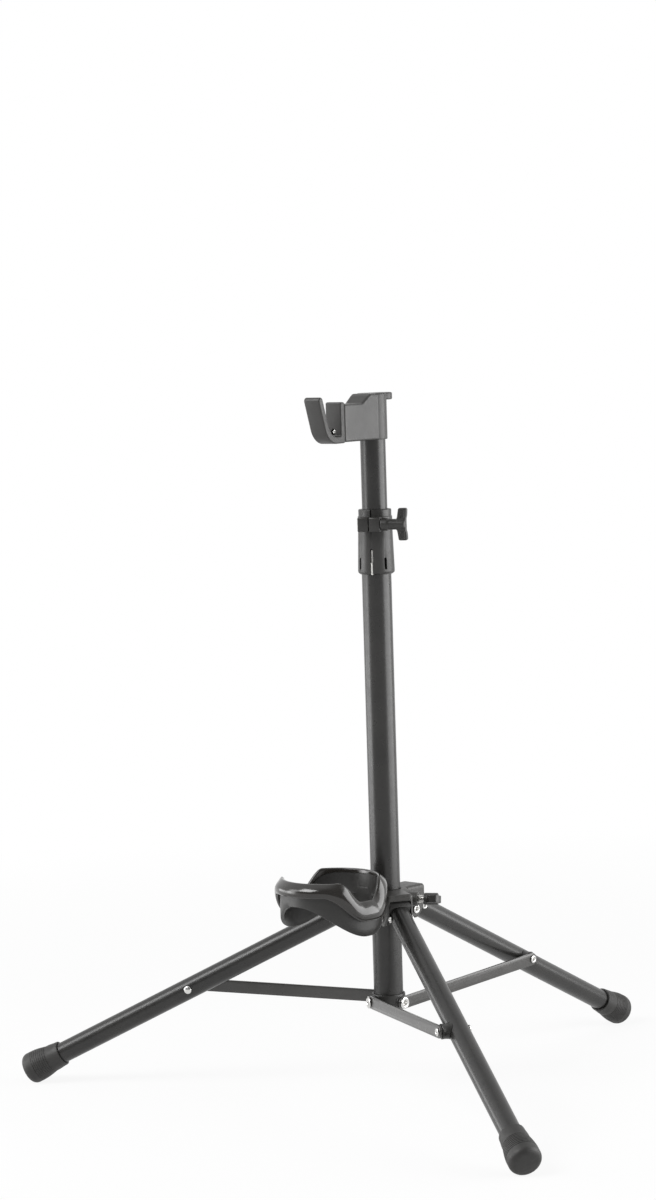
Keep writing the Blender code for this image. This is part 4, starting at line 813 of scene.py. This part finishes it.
CRADLE_BACK = 29.0 * MM
CRADLE_R = 48.0 * MM
CRADLE_WALL = 3.5 * MM
CRADLE_CENTRE = CRADLE_BACK + CRADLE_R
BOTTOM_LOW = -28.7 * MM
BOTTOM_HIGH = 0.3 * MM
HEM_LOW = -14.1 * MM
HEM_HIGH = 9.8 * MM
TOP_LOW = 4.1 * MM
TOP_HIGH = 23.1 * MM
CREST_DEPTH = 0.28
TAB_THICK = 4.0 * MM
CRADLE_SCREW_R = 2.0 * MM
CRADLE_SCREW_HEAD_R = 3.8 * MM
CRADLE_SCREW_SPREAD = 7.0 * MM
CRADLE_SCREW_Z = 179.874 * MM
COLUMNS = 176


def smooth_step(value, start, end):
    share = min(max((value - start) / (end - start), 0.0), 1.0)
    return share * share * (3.0 - 2.0 * share)


def cradle_levels(from_dip):
    """Heights above the hub's top of the band's bottom, the lip's hem and the lip's top, at an
    angle from the nearest dip."""
    return (
        BOTTOM_LOW + (BOTTOM_HIGH - BOTTOM_LOW) * smooth_step(from_dip, 4.0, 86.0),
        HEM_LOW + (HEM_HIGH - HEM_LOW) * smooth_step(from_dip, 10.0, 56.0),
        TOP_LOW + (TOP_HIGH - TOP_LOW) * smooth_step(from_dip, 9.0, 38.0),
    )


def saddled(ring, span):
    """Bends a turned ring, whose section is 0 to 1 high, to the levels of a saddle. At each
    angle, span gives the two heights that 0 and 1 come to."""
    only(ring)
    bpy.ops.object.mode_set(mode="EDIT")
    bpy.ops.mesh.select_mode(type="VERT")
    shape = bmesh.from_edit_mesh(ring.data)
    quarter = COLUMNS // 4
    groups = [[] for step in range(quarter + 1)]
    for corner in shape.verts:
        step = round(math.atan2(abs(corner.co.y), abs(corner.co.x)) / math.tau * COLUMNS)
        groups[step].append(corner)
    for step, corners in enumerate(groups):
        low, high = span(*cradle_levels(90.0 * step / quarter))
        bpy.ops.mesh.select_all(action="DESELECT")
        for corner in corners:
            corner.select_set(True)
        bpy.ops.transform.resize(value=(1.0, 1.0, high - low), center_override=(0.0, 0.0, 0.0))
        bpy.ops.transform.translate(value=(0.0, 0.0, low))
    return closed(ring)


def cross_screw(name, head_r, head, shank_r, length):
    """A pan-head screw about +Z with a cross recess, its shank below 0."""
    profile = [(0.0, head), (0.3 * head_r, head)]
    profile += bow((0.4 * head_r, 0.3 * head), 0.6 * head_r, 0.7 * head, 78.0, 0.0, 7)
    profile += [(head_r - 0.1 * MM, 0.0), (shank_r, 0.0)]
    profile += [(shank_r, 0.5 * MM - length), (shank_r - 0.5 * MM, -length), (0.0, -length)]
    made = turned(name, profile, 36)
    for angle in (0.0, 90.0):
        arm = 0.62 * head_r
        bar = slab("recess", (-arm, -0.16 * head_r, 0.3 * head), (arm, 0.16 * head_r, 2 * head))
        cut(made, settled(bar, turn(angle)))
    return made


inner = CRADLE_R - CRADLE_WALL
band = turned(
    "cradle_band",
    [
        (inner + 0.9 * MM, 0.0),
        (CRADLE_R - 0.9 * MM, 0.0),
        (CRADLE_R - 0.3 * MM, 0.008),
        (CRADLE_R, 0.03),
        (CRADLE_R, 0.25),
        (CRADLE_R, 0.5),
        (CRADLE_R, 0.75),
        (CRADLE_R, 1.0),
        (inner, 1.0),
        (inner, 0.75),
        (inner, 0.5),
        (inner, 0.25),
        (inner, 0.03),
        (inner + 0.3 * MM, 0.008),
    ],
    COLUMNS,
)
saddled(band, lambda bottom, hem, top: (bottom, top - (CREST_DEPTH + 0.02) * (top - hem)))
tab = slab(
    "cradle_tab",
    (-TONGUE_HALF, CRADLE_R - TAB_THICK, MM - TONGUE_DEPTH),
    (TONGUE_HALF, CRADLE_R, BOTTOM_HIGH + 6.0 * MM),
)
joined(band, rounded(tab, 1.0 * MM))
settled(band, shift(y=-CRADLE_CENTRE, z=HUB_TOP))
tab_front = CRADLE_BACK + TAB_THICK
screws = {"left": -CRADLE_SCREW_SPREAD, "right": CRADLE_SCREW_SPREAD}
for across in screws.values():
    hole = turned("hole", rod_profile(CRADLE_SCREW_R + 0.3 * MM, 20.0 * MM, 40.0 * MM), 24)
    cut(band, settled(hole, shift(x=across, z=CRADLE_SCREW_Z) @ against_y))
smooth(settled(band, column), 35.0)
fitted(band, moulded_nylon, "hub", "cradle_plastic", "cradle")
screw = cross_screw(
    "cradle_screw", CRADLE_SCREW_HEAD_R, 2.0 * MM, CRADLE_SCREW_R, tab_front - 19.7 * MM
)
for side, across in screws.items():
    place = column @ shift(x=across, y=-(tab_front + 0.3 * MM), z=CRADLE_SCREW_Z) @ against_y
    fixed = stood(screw, "tab_screw_" + side, place)
    fitted(fixed, nickel_plate, "hub", "chrome", "cradle_screw_" + side)
put_away(screw)

# Lip of the cradle
# A smooth glossy rim in softer plastic, moulded over the band's upper edge. It rolls outwards
# like a collar, so that the bow of the horn rests on it without marks.

LIP_FLARE = 4.7 * MM
LIP_CREST = CRADLE_R - 1.5 * MM

# The lip is dark glossy plastic. The warm brown tint in its colour is a painted reflection of the
# gold horn that rests on it.
lip_gloss = surface_finish(
    "lip_gloss",
    (0.012, 0.0106, 0.0092),
    (0.018, 0.016, 0.0138),
    0.17,
    grain=(5.0, 0.02),
    patch=18.0,
    coat=0.3,
)
rim_r = CRADLE_R + LIP_FLARE
section = [(CRADLE_R + 0.3 * MM, 1.0 - CREST_DEPTH), (inner - 0.6 * MM, 1.0 - CREST_DEPTH)]
section += [(inner - 0.6 * MM, 0.9)]
section += bow((inner + 1.0 * MM, 0.91), 1.6 * MM, 0.09, 180.0, 90.0, 5)[1:]
section += [(LIP_CREST, 1.0)]
for step in range(1, 13):
    share = 0.78 * step / 12
    bulge = math.sin(min(1.6 * share, 1.0) * math.pi / 2)
    section.append((LIP_CREST + (rim_r - LIP_CREST) * bulge, 1.0 - share))
section += [
    (rim_r - 0.15 * MM, 0.14),
    (rim_r - 0.6 * MM, 0.06),
    (rim_r - 1.3 * MM, 0.015),
    (rim_r - 2.1 * MM, 0.0),
    (CRADLE_R + 1.4 * MM, 0.02),
    (CRADLE_R + 0.3 * MM, 0.07),
]
lip = turned("cradle_lip_rim", section, COLUMNS)
saddled(lip, lambda bottom, hem, top: (hem, top))
smooth(settled(lip, column @ shift(y=-CRADLE_CENTRE, z=HUB_TOP)), 50.0)
fitted(lip, lip_gloss, "hub", "lip_gloss", "cradle_lip")

# Height clamp
# A split collar in black nylon on top of the column, with a long skirt over it. Slots let the
# skirt spring, and a pale nylon key in its keyway stops it from turning.

CLAMP_BOTTOM = COLUMN_TOP - 50.0 * MM
CLAMP_TOP = COLUMN_TOP + 11.3 * MM
CLAMP_STEP_Z = COLUMN_TOP + 4.7 * MM
CLAMP_SKIRT_R = 17.4 * MM
CLAMP_BODY_R = 16.3 * MM
CLAMP_RING_R = 15.6 * MM
UPPER_R = 12.0 * MM
LUG_TURN = -63.0
LUG_REACH = 25.5 * MM
LUG_WIDTH = 10.4 * MM
LUG_HEIGHT = 13.6 * MM
CLAMP_SPLIT = 1.2 * MM
CLAMP_SCREW_Z = COLUMN_TOP - 2.1 * MM
CLAMP_SCREW_AT = 20.3 * MM
CLAMP_SCREW_R = 2.9 * MM
NUT_FLAT = 9.0 * MM
NUT_THICK = 3.6 * MM
SLOT_WIDTH = 2.6 * MM
SLOT_LOW = 4.8 * MM
SLOT_HIGH = 16.0 * MM
SLOT_TURN = 46.0
KEYWAY_HIGH = 24.5 * MM
KEY_HIGH = 11.6 * MM
KEY_SUNK = 0.5 * MM

lug_face = LUG_WIDTH + CLAMP_SPLIT / 2
lug_axis = shift(z=CLAMP_SCREW_Z) @ turn(LUG_TURN)
clamp = turned(
    "clamp_moulding",
    [(COLUMN_R + 0.5 * MM, CLAMP_BOTTOM), (COLUMN_R + 1.3 * MM, CLAMP_BOTTOM)]
    + [(CLAMP_SKIRT_R - 0.7 * MM, CLAMP_BOTTOM + 1.1 * MM)]
    + [(CLAMP_SKIRT_R - 0.2 * MM, CLAMP_BOTTOM + 1.7 * MM)]
    + [(CLAMP_SKIRT_R, CLAMP_BOTTOM + 3.0 * MM)]
    + [(CLAMP_BODY_R, CLAMP_SCREW_Z - LUG_HEIGHT / 2)]
    + bow((CLAMP_BODY_R - 0.7 * MM, CLAMP_STEP_Z - 0.7 * MM), 0.7 * MM, 0.7 * MM, 0.0, 80.0, 4)
    + [(CLAMP_RING_R, CLAMP_STEP_Z + 0.1 * MM)]
    + bow((CLAMP_RING_R - 0.8 * MM, CLAMP_TOP - 0.8 * MM), 0.8 * MM, 0.8 * MM, 0.0, 90.0, 4)
    + [(UPPER_R + 0.5 * MM, CLAMP_TOP), (UPPER_R + 0.3 * MM, CLAMP_TOP - 0.2 * MM)]
    + [(UPPER_R + 0.3 * MM, COLUMN_TOP + 0.3 * MM), (COLUMN_R + 0.3 * MM, COLUMN_TOP + 0.3 * MM)]
    + [(COLUMN_R + 0.3 * MM, CLAMP_BOTTOM + 0.2 * MM)],
    96,
)
lugs = slab(
    "clamp_lugs",
    (COLUMN_R + 1.2 * MM, -lug_face, -LUG_HEIGHT / 2),
    (LUG_REACH, lug_face, LUG_HEIGHT / 2),
)
joined(clamp, settled(rounded(lugs, 1.3 * MM, 4), lug_axis))
cutters = [
    slab(
        "clamp_split",
        (UPPER_R - 2.0 * MM, -CLAMP_SPLIT / 2, -LUG_HEIGHT / 2 - MM),
        (LUG_REACH + MM, CLAMP_SPLIT / 2, CLAMP_TOP - CLAMP_SCREW_Z + MM),
    ),
    settled(
        turned("lug_hole", rod_profile(CLAMP_SCREW_R + 0.3 * MM, -0.015, 0.015), 32),
        shift(x=CLAMP_SCREW_AT) @ along_y,
    ),
    slab(
        "nut_pocket",
        (CLAMP_SCREW_AT - NUT_FLAT / 2 - 0.3 * MM, -lug_face - MM, -NUT_FLAT / 2 - 0.3 * MM),
        (
            CLAMP_SCREW_AT + NUT_FLAT / 2 + 0.3 * MM,
            NUT_THICK + 0.3 * MM - lug_face,
            NUT_FLAT / 2 + 0.3 * MM,
        ),
    ),
]
slots = (
    (-SLOT_TURN, SLOT_LOW, SLOT_HIGH),
    (SLOT_TURN, SLOT_LOW, SLOT_HIGH),
    (0.0, -2 * SLOT_WIDTH, KEYWAY_HIGH),
)
half_slot = SLOT_WIDTH / 2
for angle, low, high in slots:
    shape = bow((0.0, low + half_slot), half_slot, half_slot, 180.0, 360.0, 12)
    shape += bow((0.0, high - half_slot), half_slot, half_slot, 0.0, 180.0, 12)
    slot = drawn("skirt_slot", shape, 6.0 * MM)
    upright = turn(90.0) @ turn(90.0, "X") @ shift(z=COLUMN_R - MM)
    base = shift(z=CLAMP_BOTTOM - CLAMP_SCREW_Z)
    cutters.append(settled(slot, base @ turn(angle) @ upright))
for cutter in cutters:
    cut(clamp, settled(cutter, lug_axis))
rounded(clamp, 0.25 * MM, 2)
smooth(settled(clamp, column), 35.0)
fitted(clamp, moulded_nylon, "column", "clamp_plastic", "clamp")
pale_nylon = surface_finish(
    "pale_nylon", (0.66, 0.65, 0.62), (0.74, 0.73, 0.70), 0.42, grain=(0.6, 0.02), patch=6.0
)
key_half = half_slot - 0.4 * MM
key_low = CLAMP_BOTTOM - CLAMP_SCREW_Z
key = rounded(
    slab(
        "keyway_key",
        (COLUMN_R + 0.3 * MM, -key_half, key_low),
        (CLAMP_SKIRT_R - KEY_SUNK, key_half, key_low + KEY_HIGH),
    ),
    0.4 * MM,
)
tail = slab(
    "key_tail",
    (COLUMN_R + 0.3 * MM, -key_half, key_low + MM),
    (COLUMN_R + 1.1 * MM, key_half, key_low + KEYWAY_HIGH - 1.4 * MM),
)
joined(key, tail)
smooth(settled(key, column @ lug_axis))
fitted(key, pale_nylon, "column", "pale_nylon", "clamp_key")

# Wing screw of the clamp
# A plated stud through both lugs, a square nut sunk in the far one, and a wing head with a
# long boss. It draws the lugs together on the upper tube.

CLAMP_THREAD_PITCH = 1.0 * MM

clamp_screw_axis = column @ lug_axis @ shift(x=CLAMP_SCREW_AT)
stud = threaded(
    "clamp_stud", CLAMP_SCREW_R, CLAMP_THREAD_PITCH, 0.2 * MM - lug_face, lug_face + 8.0 * MM
)
smooth(settled(stud, clamp_screw_axis @ along_y), 25.0)
fitted(stud, nickel_plate, "clamp_knob", "chrome", "clamp_screw")
nut = slab(
    "clamp_square_nut",
    (-NUT_FLAT / 2, -lug_face, -NUT_FLAT / 2),
    (NUT_FLAT / 2, NUT_THICK - lug_face, NUT_FLAT / 2),
)
rounded(nut, 0.5 * MM, 2)
hole = turned("nut_hole", rod_profile(CLAMP_SCREW_R + 0.2 * MM, -0.015, 0.015), 32)
cut(nut, settled(hole, along_y))
smooth(settled(nut, clamp_screw_axis))
fitted(nut, nickel_plate, "column", "chrome", "clamp_nut")
wing = wing_head(
    "clamp_wing_head",
    foot=(6.0 * MM, 7.6 * MM),
    barrel_r=5.1 * MM,
    neck=15.6 * MM,
    span=30.5 * MM,
    length=9.6 * MM,
    thick=6.0 * MM,
    hollow=2.0 * MM,
    bore=(3.2 * MM, 8.0 * MM),
)
wing_place = clamp_screw_axis @ shift(y=lug_face + 0.3 * MM) @ along_y @ turn(90.0)
smooth(settled(wing, wing_place), 60.0)
fitted(wing, moulded_nylon, "clamp_knob", "clamp_plastic", "clamp_wing")

# Upper tube with its glide
# A thinner steel tube in the column's satin black. A nylon glide in its lower end keeps it
# central in the column, where it slides and turns.

UPPER_WALL = 1.2 * MM
UPPER_BOTTOM = 340.0 * MM
UPPER_TOP = 660.0 * MM

upper = turned("upper_tube_shell", tube_profile(UPPER_R, UPPER_WALL, UPPER_BOTTOM, UPPER_TOP), 96)
smooth(settled(upper, column))
fitted(upper, powder_coat, "extension", "column_paint", "upper_tube")
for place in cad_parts["tube_glide"].material_slots:
    place.material = moulded_nylon

# Head
# The sleeve on the tube, the deep arm in front and the small holder ring behind are one
# moulding, in a satin nylon darker than the hub's.

HEAD_TURN = 10.0
HEAD_TOP = 665.3 * MM
HEAD_BOTTOM = 621.5 * MM
HEAD_R = 14.1 * MM
ARM_END = 61.5 * MM
ARM_SHOULDER = 18.0 * MM
ARM_DROP = 8.5 * MM
ARM_ROOT_HALF = 12.0 * MM
ARM_END_HALF = 8.4 * MM
HOLDER_AT = 18.2 * MM
HOLDER_R = 10.0 * MM
HOLDER_BORE_R = 4.7 * MM
HOLDER_THICK = 7.0 * MM
HOOK_WALL_TOP = HEAD_TOP - 6.3 * MM

satin_nylon = surface_finish(
    "satin_nylon", (0.020, 0.0192, 0.0182), (0.030, 0.0288, 0.0271), 0.38, grain=(0.8, 0.02)
)
head_axis = column @ turn(HEAD_TURN)
head = turned(
    "head_moulding",
    [(0.0, HEAD_BOTTOM)]
    + bow((HEAD_R - 0.6 * MM, HEAD_BOTTOM + 0.6 * MM), 0.6 * MM, 0.6 * MM, -90.0, 0.0, 3)
    + bow((HEAD_R - 1.3 * MM, HEAD_TOP - 1.3 * MM), 1.3 * MM, 1.3 * MM, 0.0, 90.0, 5)
    + [(0.0, HEAD_TOP)],
)
arm = drawn(
    "head_arm",
    [
        (0.0, HEAD_BOTTOM + 0.1 * MM),
        (ARM_END, HEAD_BOTTOM + 0.1 * MM),
        (ARM_END, HOOK_WALL_TOP - 2.0 * MM),
        (ARM_SHOULDER + 14.0 * MM, HEAD_TOP - ARM_DROP),
        (ARM_SHOULDER + 4.0 * MM, HEAD_TOP - 0.25 * ARM_DROP),
        (ARM_SHOULDER, HEAD_TOP - 0.2 * MM),
        (0.0, HEAD_TOP - 0.2 * MM),
    ],
    2 * ARM_ROOT_HALF,
)
settled(arm, turn(-90.0) @ shift(y=ARM_ROOT_HALF) @ against_y)
only(arm)
bpy.ops.object.mode_set(mode="EDIT")
bpy.ops.mesh.select_mode(type="VERT")
shape = bmesh.from_edit_mesh(arm.data)
for reach in sorted({round(-corner.co.y, 6) for corner in shape.verts}):
    bpy.ops.mesh.select_all(action="DESELECT")
    for corner in shape.verts:
        corner.select_set(abs(corner.co.y + reach) < 0.01 * MM)
    narrow = 1.0 + (ARM_END_HALF / ARM_ROOT_HALF - 1.0) * reach / ARM_END
    bpy.ops.transform.resize(value=(narrow, 1.0, 1.0), center_override=(0.0, 0.0, 0.0))
closed(arm)
joined(head, rounded(arm, 2.0 * MM, 5))
ring_low = HEAD_TOP - HOLDER_THICK
ring = turned(
    "mouthpiece_ring",
    [(0.0, ring_low)]
    + bow((HOLDER_R - 1.2 * MM, ring_low + 1.2 * MM), 1.2 * MM, 1.2 * MM, -90.0, 0.0, 4)
    + bow((HOLDER_R - 1.2 * MM, HEAD_TOP - 1.3 * MM), 1.2 * MM, 1.2 * MM, 0.0, 90.0, 4)
    + [(0.0, HEAD_TOP - 0.1 * MM)],
    60,
)
joined(head, settled(ring, shift(y=HOLDER_AT)))
cut(head, turned("head_bore", rod_profile(UPPER_R + 0.3 * MM, 0.6, UPPER_TOP + 0.3 * MM)))
ring_bore = turned("ring_bore", rod_profile(HOLDER_BORE_R, ring_low - MM, HEAD_TOP + MM), 48)
cut(head, settled(ring_bore, shift(y=HOLDER_AT)))
moulded(head, 0.62 * MM)
smooth(settled(head, head_axis), 60.0)
fitted(head, satin_nylon, "extension", "head_plastic", "head")

# Hook with its screw
# A J-shaped moulding with a soft matte coating that doesn't mark what hangs in it. One
# cross-head screw, sunk in its wall, holds it against the end of the arm.

HOOK_BACK = 61.8 * MM
HOOK_WALL = 6.7 * MM
HOOK_GAP = 21.7 * MM
HOOK_BEND_R = 14.3 * MM
HOOK_LEAN = 20.0
HOOK_WIDTH = 17.2 * MM
HOOK_BOTTOM = 620.9 * MM
HOOK_TIP = 664.7 * MM
HOOK_CORNER_R = 1.5 * MM
HOOK_SCREW_R = 1.6 * MM
HOOK_SCREW_HEAD_R = 2.3 * MM
HOOK_SCREW_LENGTH = 18.0 * MM
HOOK_SCREW_Z = 631.6 * MM

soft_coating = surface_finish(
    "soft_coating", (0.024, 0.0234, 0.0226), (0.036, 0.035, 0.0335), 0.48, grain=(0.7, 0.015)
)
hook_face = HOOK_BACK + HOOK_WALL
hook_floor = HOOK_BOTTOM + HOOK_WALL
outer_r = HOOK_BEND_R + HOOK_WALL
middle_r = HOOK_BEND_R + HOOK_WALL / 2
bend = (hook_face + HOOK_GAP - HOOK_BEND_R, HOOK_BOTTOM + outer_r)
lean = math.radians(HOOK_LEAN)
finger = (HOOK_TIP - HOOK_WALL / 2 - bend[1]) / math.cos(lean) + middle_r * math.tan(lean)
tip_centre = (
    bend[0] + middle_r * math.cos(lean) + finger * math.sin(lean),
    bend[1] - middle_r * math.sin(lean) + finger * math.cos(lean),
)
tip_r = HOOK_WALL / 2
corner_place = (hook_face + HOOK_CORNER_R, hook_floor + HOOK_CORNER_R)
shape = [(HOOK_BACK, HOOK_BOTTOM)]
shape += bow(bend, outer_r, outer_r, -90.0, -HOOK_LEAN, 20)
shape += bow(tip_centre, tip_r, tip_r, -HOOK_LEAN, 180.0 - HOOK_LEAN, 16)
shape += reversed(bow(bend, HOOK_BEND_R, HOOK_BEND_R, -90.0, -HOOK_LEAN, 20))
shape += reversed(bow(corner_place, HOOK_CORNER_R, HOOK_CORNER_R, 180.0, 270.0, 6))
shape += [(hook_face, HOOK_WALL_TOP), (HOOK_BACK, HOOK_WALL_TOP)]
hook = drawn("hook_moulding", shape, HOOK_WIDTH)
settled(hook, turn(-90.0) @ shift(y=HOOK_WIDTH / 2) @ against_y)
rounded(hook, 2.4 * MM, 6)
for radius, depth in ((HOOK_SCREW_R + 0.3 * MM, 20.0 * MM), (HOOK_SCREW_HEAD_R + 0.6 * MM, 2.6 * MM)):
    hole = turned("hole", rod_profile(radius, hook_face - depth, hook_face + 0.5 * MM), 32)
    cut(hook, settled(hole, shift(z=HOOK_SCREW_Z) @ against_y))
smooth(settled(hook, head_axis))
fitted(hook, soft_coating, "extension", "hook_plastic", "hook")
screw = cross_screw(
    "hook_cross_screw", HOOK_SCREW_HEAD_R, 1.3 * MM, HOOK_SCREW_R, HOOK_SCREW_LENGTH
)
smooth(settled(screw, head_axis @ shift(y=2.3 * MM - hook_face, z=HOOK_SCREW_Z) @ against_y))
fitted(screw, nickel_plate, "extension", "chrome", "hook_screw")

# Floor, light and camera
# A plain white floor and white surroundings, open to the dark room on the camera's side. Soft
# lamps stand on both sides of the object, and one hangs in front of it.

CAMERA_TURN = math.radians(41.626)
CAMERA_RISE = math.radians(4.561)
CAMERA_ROLL = math.radians(1.6527)
CAMERA_AIM_Z = 0.49283
CAMERA_DISTANCE = 3.19436
CAMERA_LENS = 101.32
CAMERA_SHIFT = (-0.04051, -0.0206)
FLOOR_GLOW = (0.89, 1.0)
ROOM_LIGHT = 0.28
ROOM_DARK = 0.12
DARK_SIDE = (math.sin(CAMERA_TURN), -math.cos(CAMERA_TURN), 0.0)

bpy.ops.object.select_all(action="DESELECT")
bpy.ops.mesh.primitive_circle_add(vertices=96, radius=40.0, fill_type="NGON")
floor = bpy.context.object
floor.name = "floor"
floor_white = bpy.data.materials.new("floor_white")
floor_white.use_nodes = True
tree = floor_white.node_tree
surface = tree.nodes["Principled BSDF"]
surface.inputs["Base Color"].default_value = (0.86, 0.86, 0.86, 1.0)
surface.inputs["Roughness"].default_value = 0.9


def seen_directly(tree):
    """A value of 1 for what the camera sees itself, by reflection or through glass."""
    path = tree.nodes.new("ShaderNodeLightPath")
    found = path.outputs["Is Camera Ray"]
    for way in ("Is Glossy Ray", "Is Transmission Ray"):
        either = tree.nodes.new("ShaderNodeMath")
        either.operation = "MAXIMUM"
        tree.links.new(found, either.inputs[0])
        tree.links.new(path.outputs[way], either.inputs[1])
        found = either.outputs["Value"]
    return found, path


floor_place = tree.nodes.new("ShaderNodeTexCoord")
reach = tree.nodes.new("ShaderNodeVectorMath")
reach.operation = "LENGTH"
fade = tree.nodes.new("ShaderNodeMapRange")
fade.inputs["From Min"].default_value = 0.5
fade.inputs["From Max"].default_value = 1.5
fade.inputs["To Min"].default_value = FLOOR_GLOW[0]
fade.inputs["To Max"].default_value = FLOOR_GLOW[1]
tree.links.new(floor_place.outputs["Object"], reach.inputs[0])
tree.links.new(reach.outputs["Value"], fade.inputs["Value"])
share = tree.nodes.new("ShaderNodeMath")
share.operation = "MULTIPLY"
tree.links.new(seen_directly(tree)[0], share.inputs[0])
tree.links.new(fade.outputs["Result"], share.inputs[1])
glow = tree.nodes.new("ShaderNodeEmission")
glow.inputs["Color"].default_value = (1.0, 1.0, 1.0, 1.0)
mix = tree.nodes.new("ShaderNodeMixShader")
tree.links.new(share.outputs["Value"], mix.inputs["Fac"])
tree.links.new(surface.outputs["BSDF"], mix.inputs[1])
tree.links.new(glow.outputs["Emission"], mix.inputs[2])
tree.links.new(mix.outputs["Shader"], tree.nodes["Material Output"].inputs["Surface"])
floor.data.materials.append(floor_white)

world = bpy.data.worlds.new("studio")
bpy.context.scene.world = world
world.use_nodes = True
sky = world.node_tree
backdrop = sky.nodes["Background"]
backdrop.inputs["Color"].default_value = (1.0, 1.0, 1.0, 1.0)
direction = sky.nodes.new("ShaderNodeTexCoord")
facing = sky.nodes.new("ShaderNodeVectorMath")
facing.operation = "DOT_PRODUCT"
facing.inputs[1].default_value = DARK_SIDE
opening = sky.nodes.new("ShaderNodeMapRange")
opening.interpolation_type = "SMOOTHSTEP"
opening.inputs["From Min"].default_value = 0.0
opening.inputs["From Max"].default_value = 0.6
opening.inputs["To Min"].default_value = 1.0
opening.inputs["To Max"].default_value = ROOM_DARK
sky.links.new(direction.outputs["Generated"], facing.inputs[0])
sky.links.new(facing.outputs["Value"], opening.inputs["Value"])
direct, path = seen_directly(sky)
backed = sky.nodes.new("ShaderNodeMath")
backed.operation = "MULTIPLY"
sky.links.new(direct, backed.inputs[0])
sky.links.new(opening.outputs["Result"], backed.inputs[1])
level = sky.nodes.new("ShaderNodeMath")
level.operation = "MAXIMUM"
sky.links.new(path.outputs["Is Camera Ray"], level.inputs[0])
sky.links.new(backed.outputs["Value"], level.inputs[1])
strength = sky.nodes.new("ShaderNodeMath")
strength.operation = "MAXIMUM"
strength.inputs[1].default_value = ROOM_LIGHT
sky.links.new(level.outputs["Value"], strength.inputs[0])
sky.links.new(strength.outputs["Value"], backdrop.inputs["Strength"])


def soft_lamp(name, turned, reach, height, aim_z, size, power):
    """A soft box on one side of the column, at an angle from the camera's side, facing it."""
    lamp = bpy.data.lights.new(name, "AREA")
    lamp.shape = "RECTANGLE"
    lamp.size, lamp.size_y = size
    lamp.energy = power
    made = bpy.data.objects.new(name, lamp)
    side = CAMERA_TURN - math.radians(90.0) + math.radians(turned)
    place = Vector((reach * math.cos(side), COLUMN_Y + reach * math.sin(side), height))
    made.location = place
    aim = Vector((0.0, COLUMN_Y, aim_z))
    made.rotation_euler = (aim - place).to_track_quat("-Z", "Y").to_euler()
    made.visible_camera = False
    bpy.context.scene.collection.objects.link(made)
    return made


soft_lamp("right_lamp", 82.0, 1.4, 0.6, 0.6, (1.5, 1.2), 24.0)
soft_lamp("left_lamp", -85.0, 1.4, 0.6, 0.6, (0.5, 1.2), 6.0)
soft_lamp("low_lamp", -104.0, 1.4, 0.14, 0.14, (1.1, 0.5), 5.0)
soft_lamp("key_lamp", -60.0, 2.2, 2.3, 0.3, (1.4, 1.4), 55.0)

towards = Vector(
    (
        math.sin(CAMERA_TURN) * math.cos(CAMERA_RISE),
        -math.cos(CAMERA_TURN) * math.cos(CAMERA_RISE),
        math.sin(CAMERA_RISE),
    )
)
level_right = Vector((math.cos(CAMERA_TURN), math.sin(CAMERA_TURN), 0.0))
level_up = towards.cross(level_right)
right = math.cos(CAMERA_ROLL) * level_right - math.sin(CAMERA_ROLL) * level_up
up = math.sin(CAMERA_ROLL) * level_right + math.cos(CAMERA_ROLL) * level_up
lens = bpy.data.cameras.new("camera")
lens.sensor_fit = "VERTICAL"
lens.sensor_height = 36.0
lens.lens = CAMERA_LENS
lens.shift_x, lens.shift_y = CAMERA_SHIFT
lens.clip_end = 200.0
camera = bpy.data.objects.new("camera", lens)
place = Vector((0.0, COLUMN_Y, CAMERA_AIM_Z)) + CAMERA_DISTANCE * towards
camera.matrix_world = Matrix.Translation(place) @ Matrix((right, up, towards)).transposed().to_4x4()
bpy.context.scene.collection.objects.link(camera)
bpy.context.scene.camera = camera

bpy.context.scene.view_settings.view_transform = "Standard"
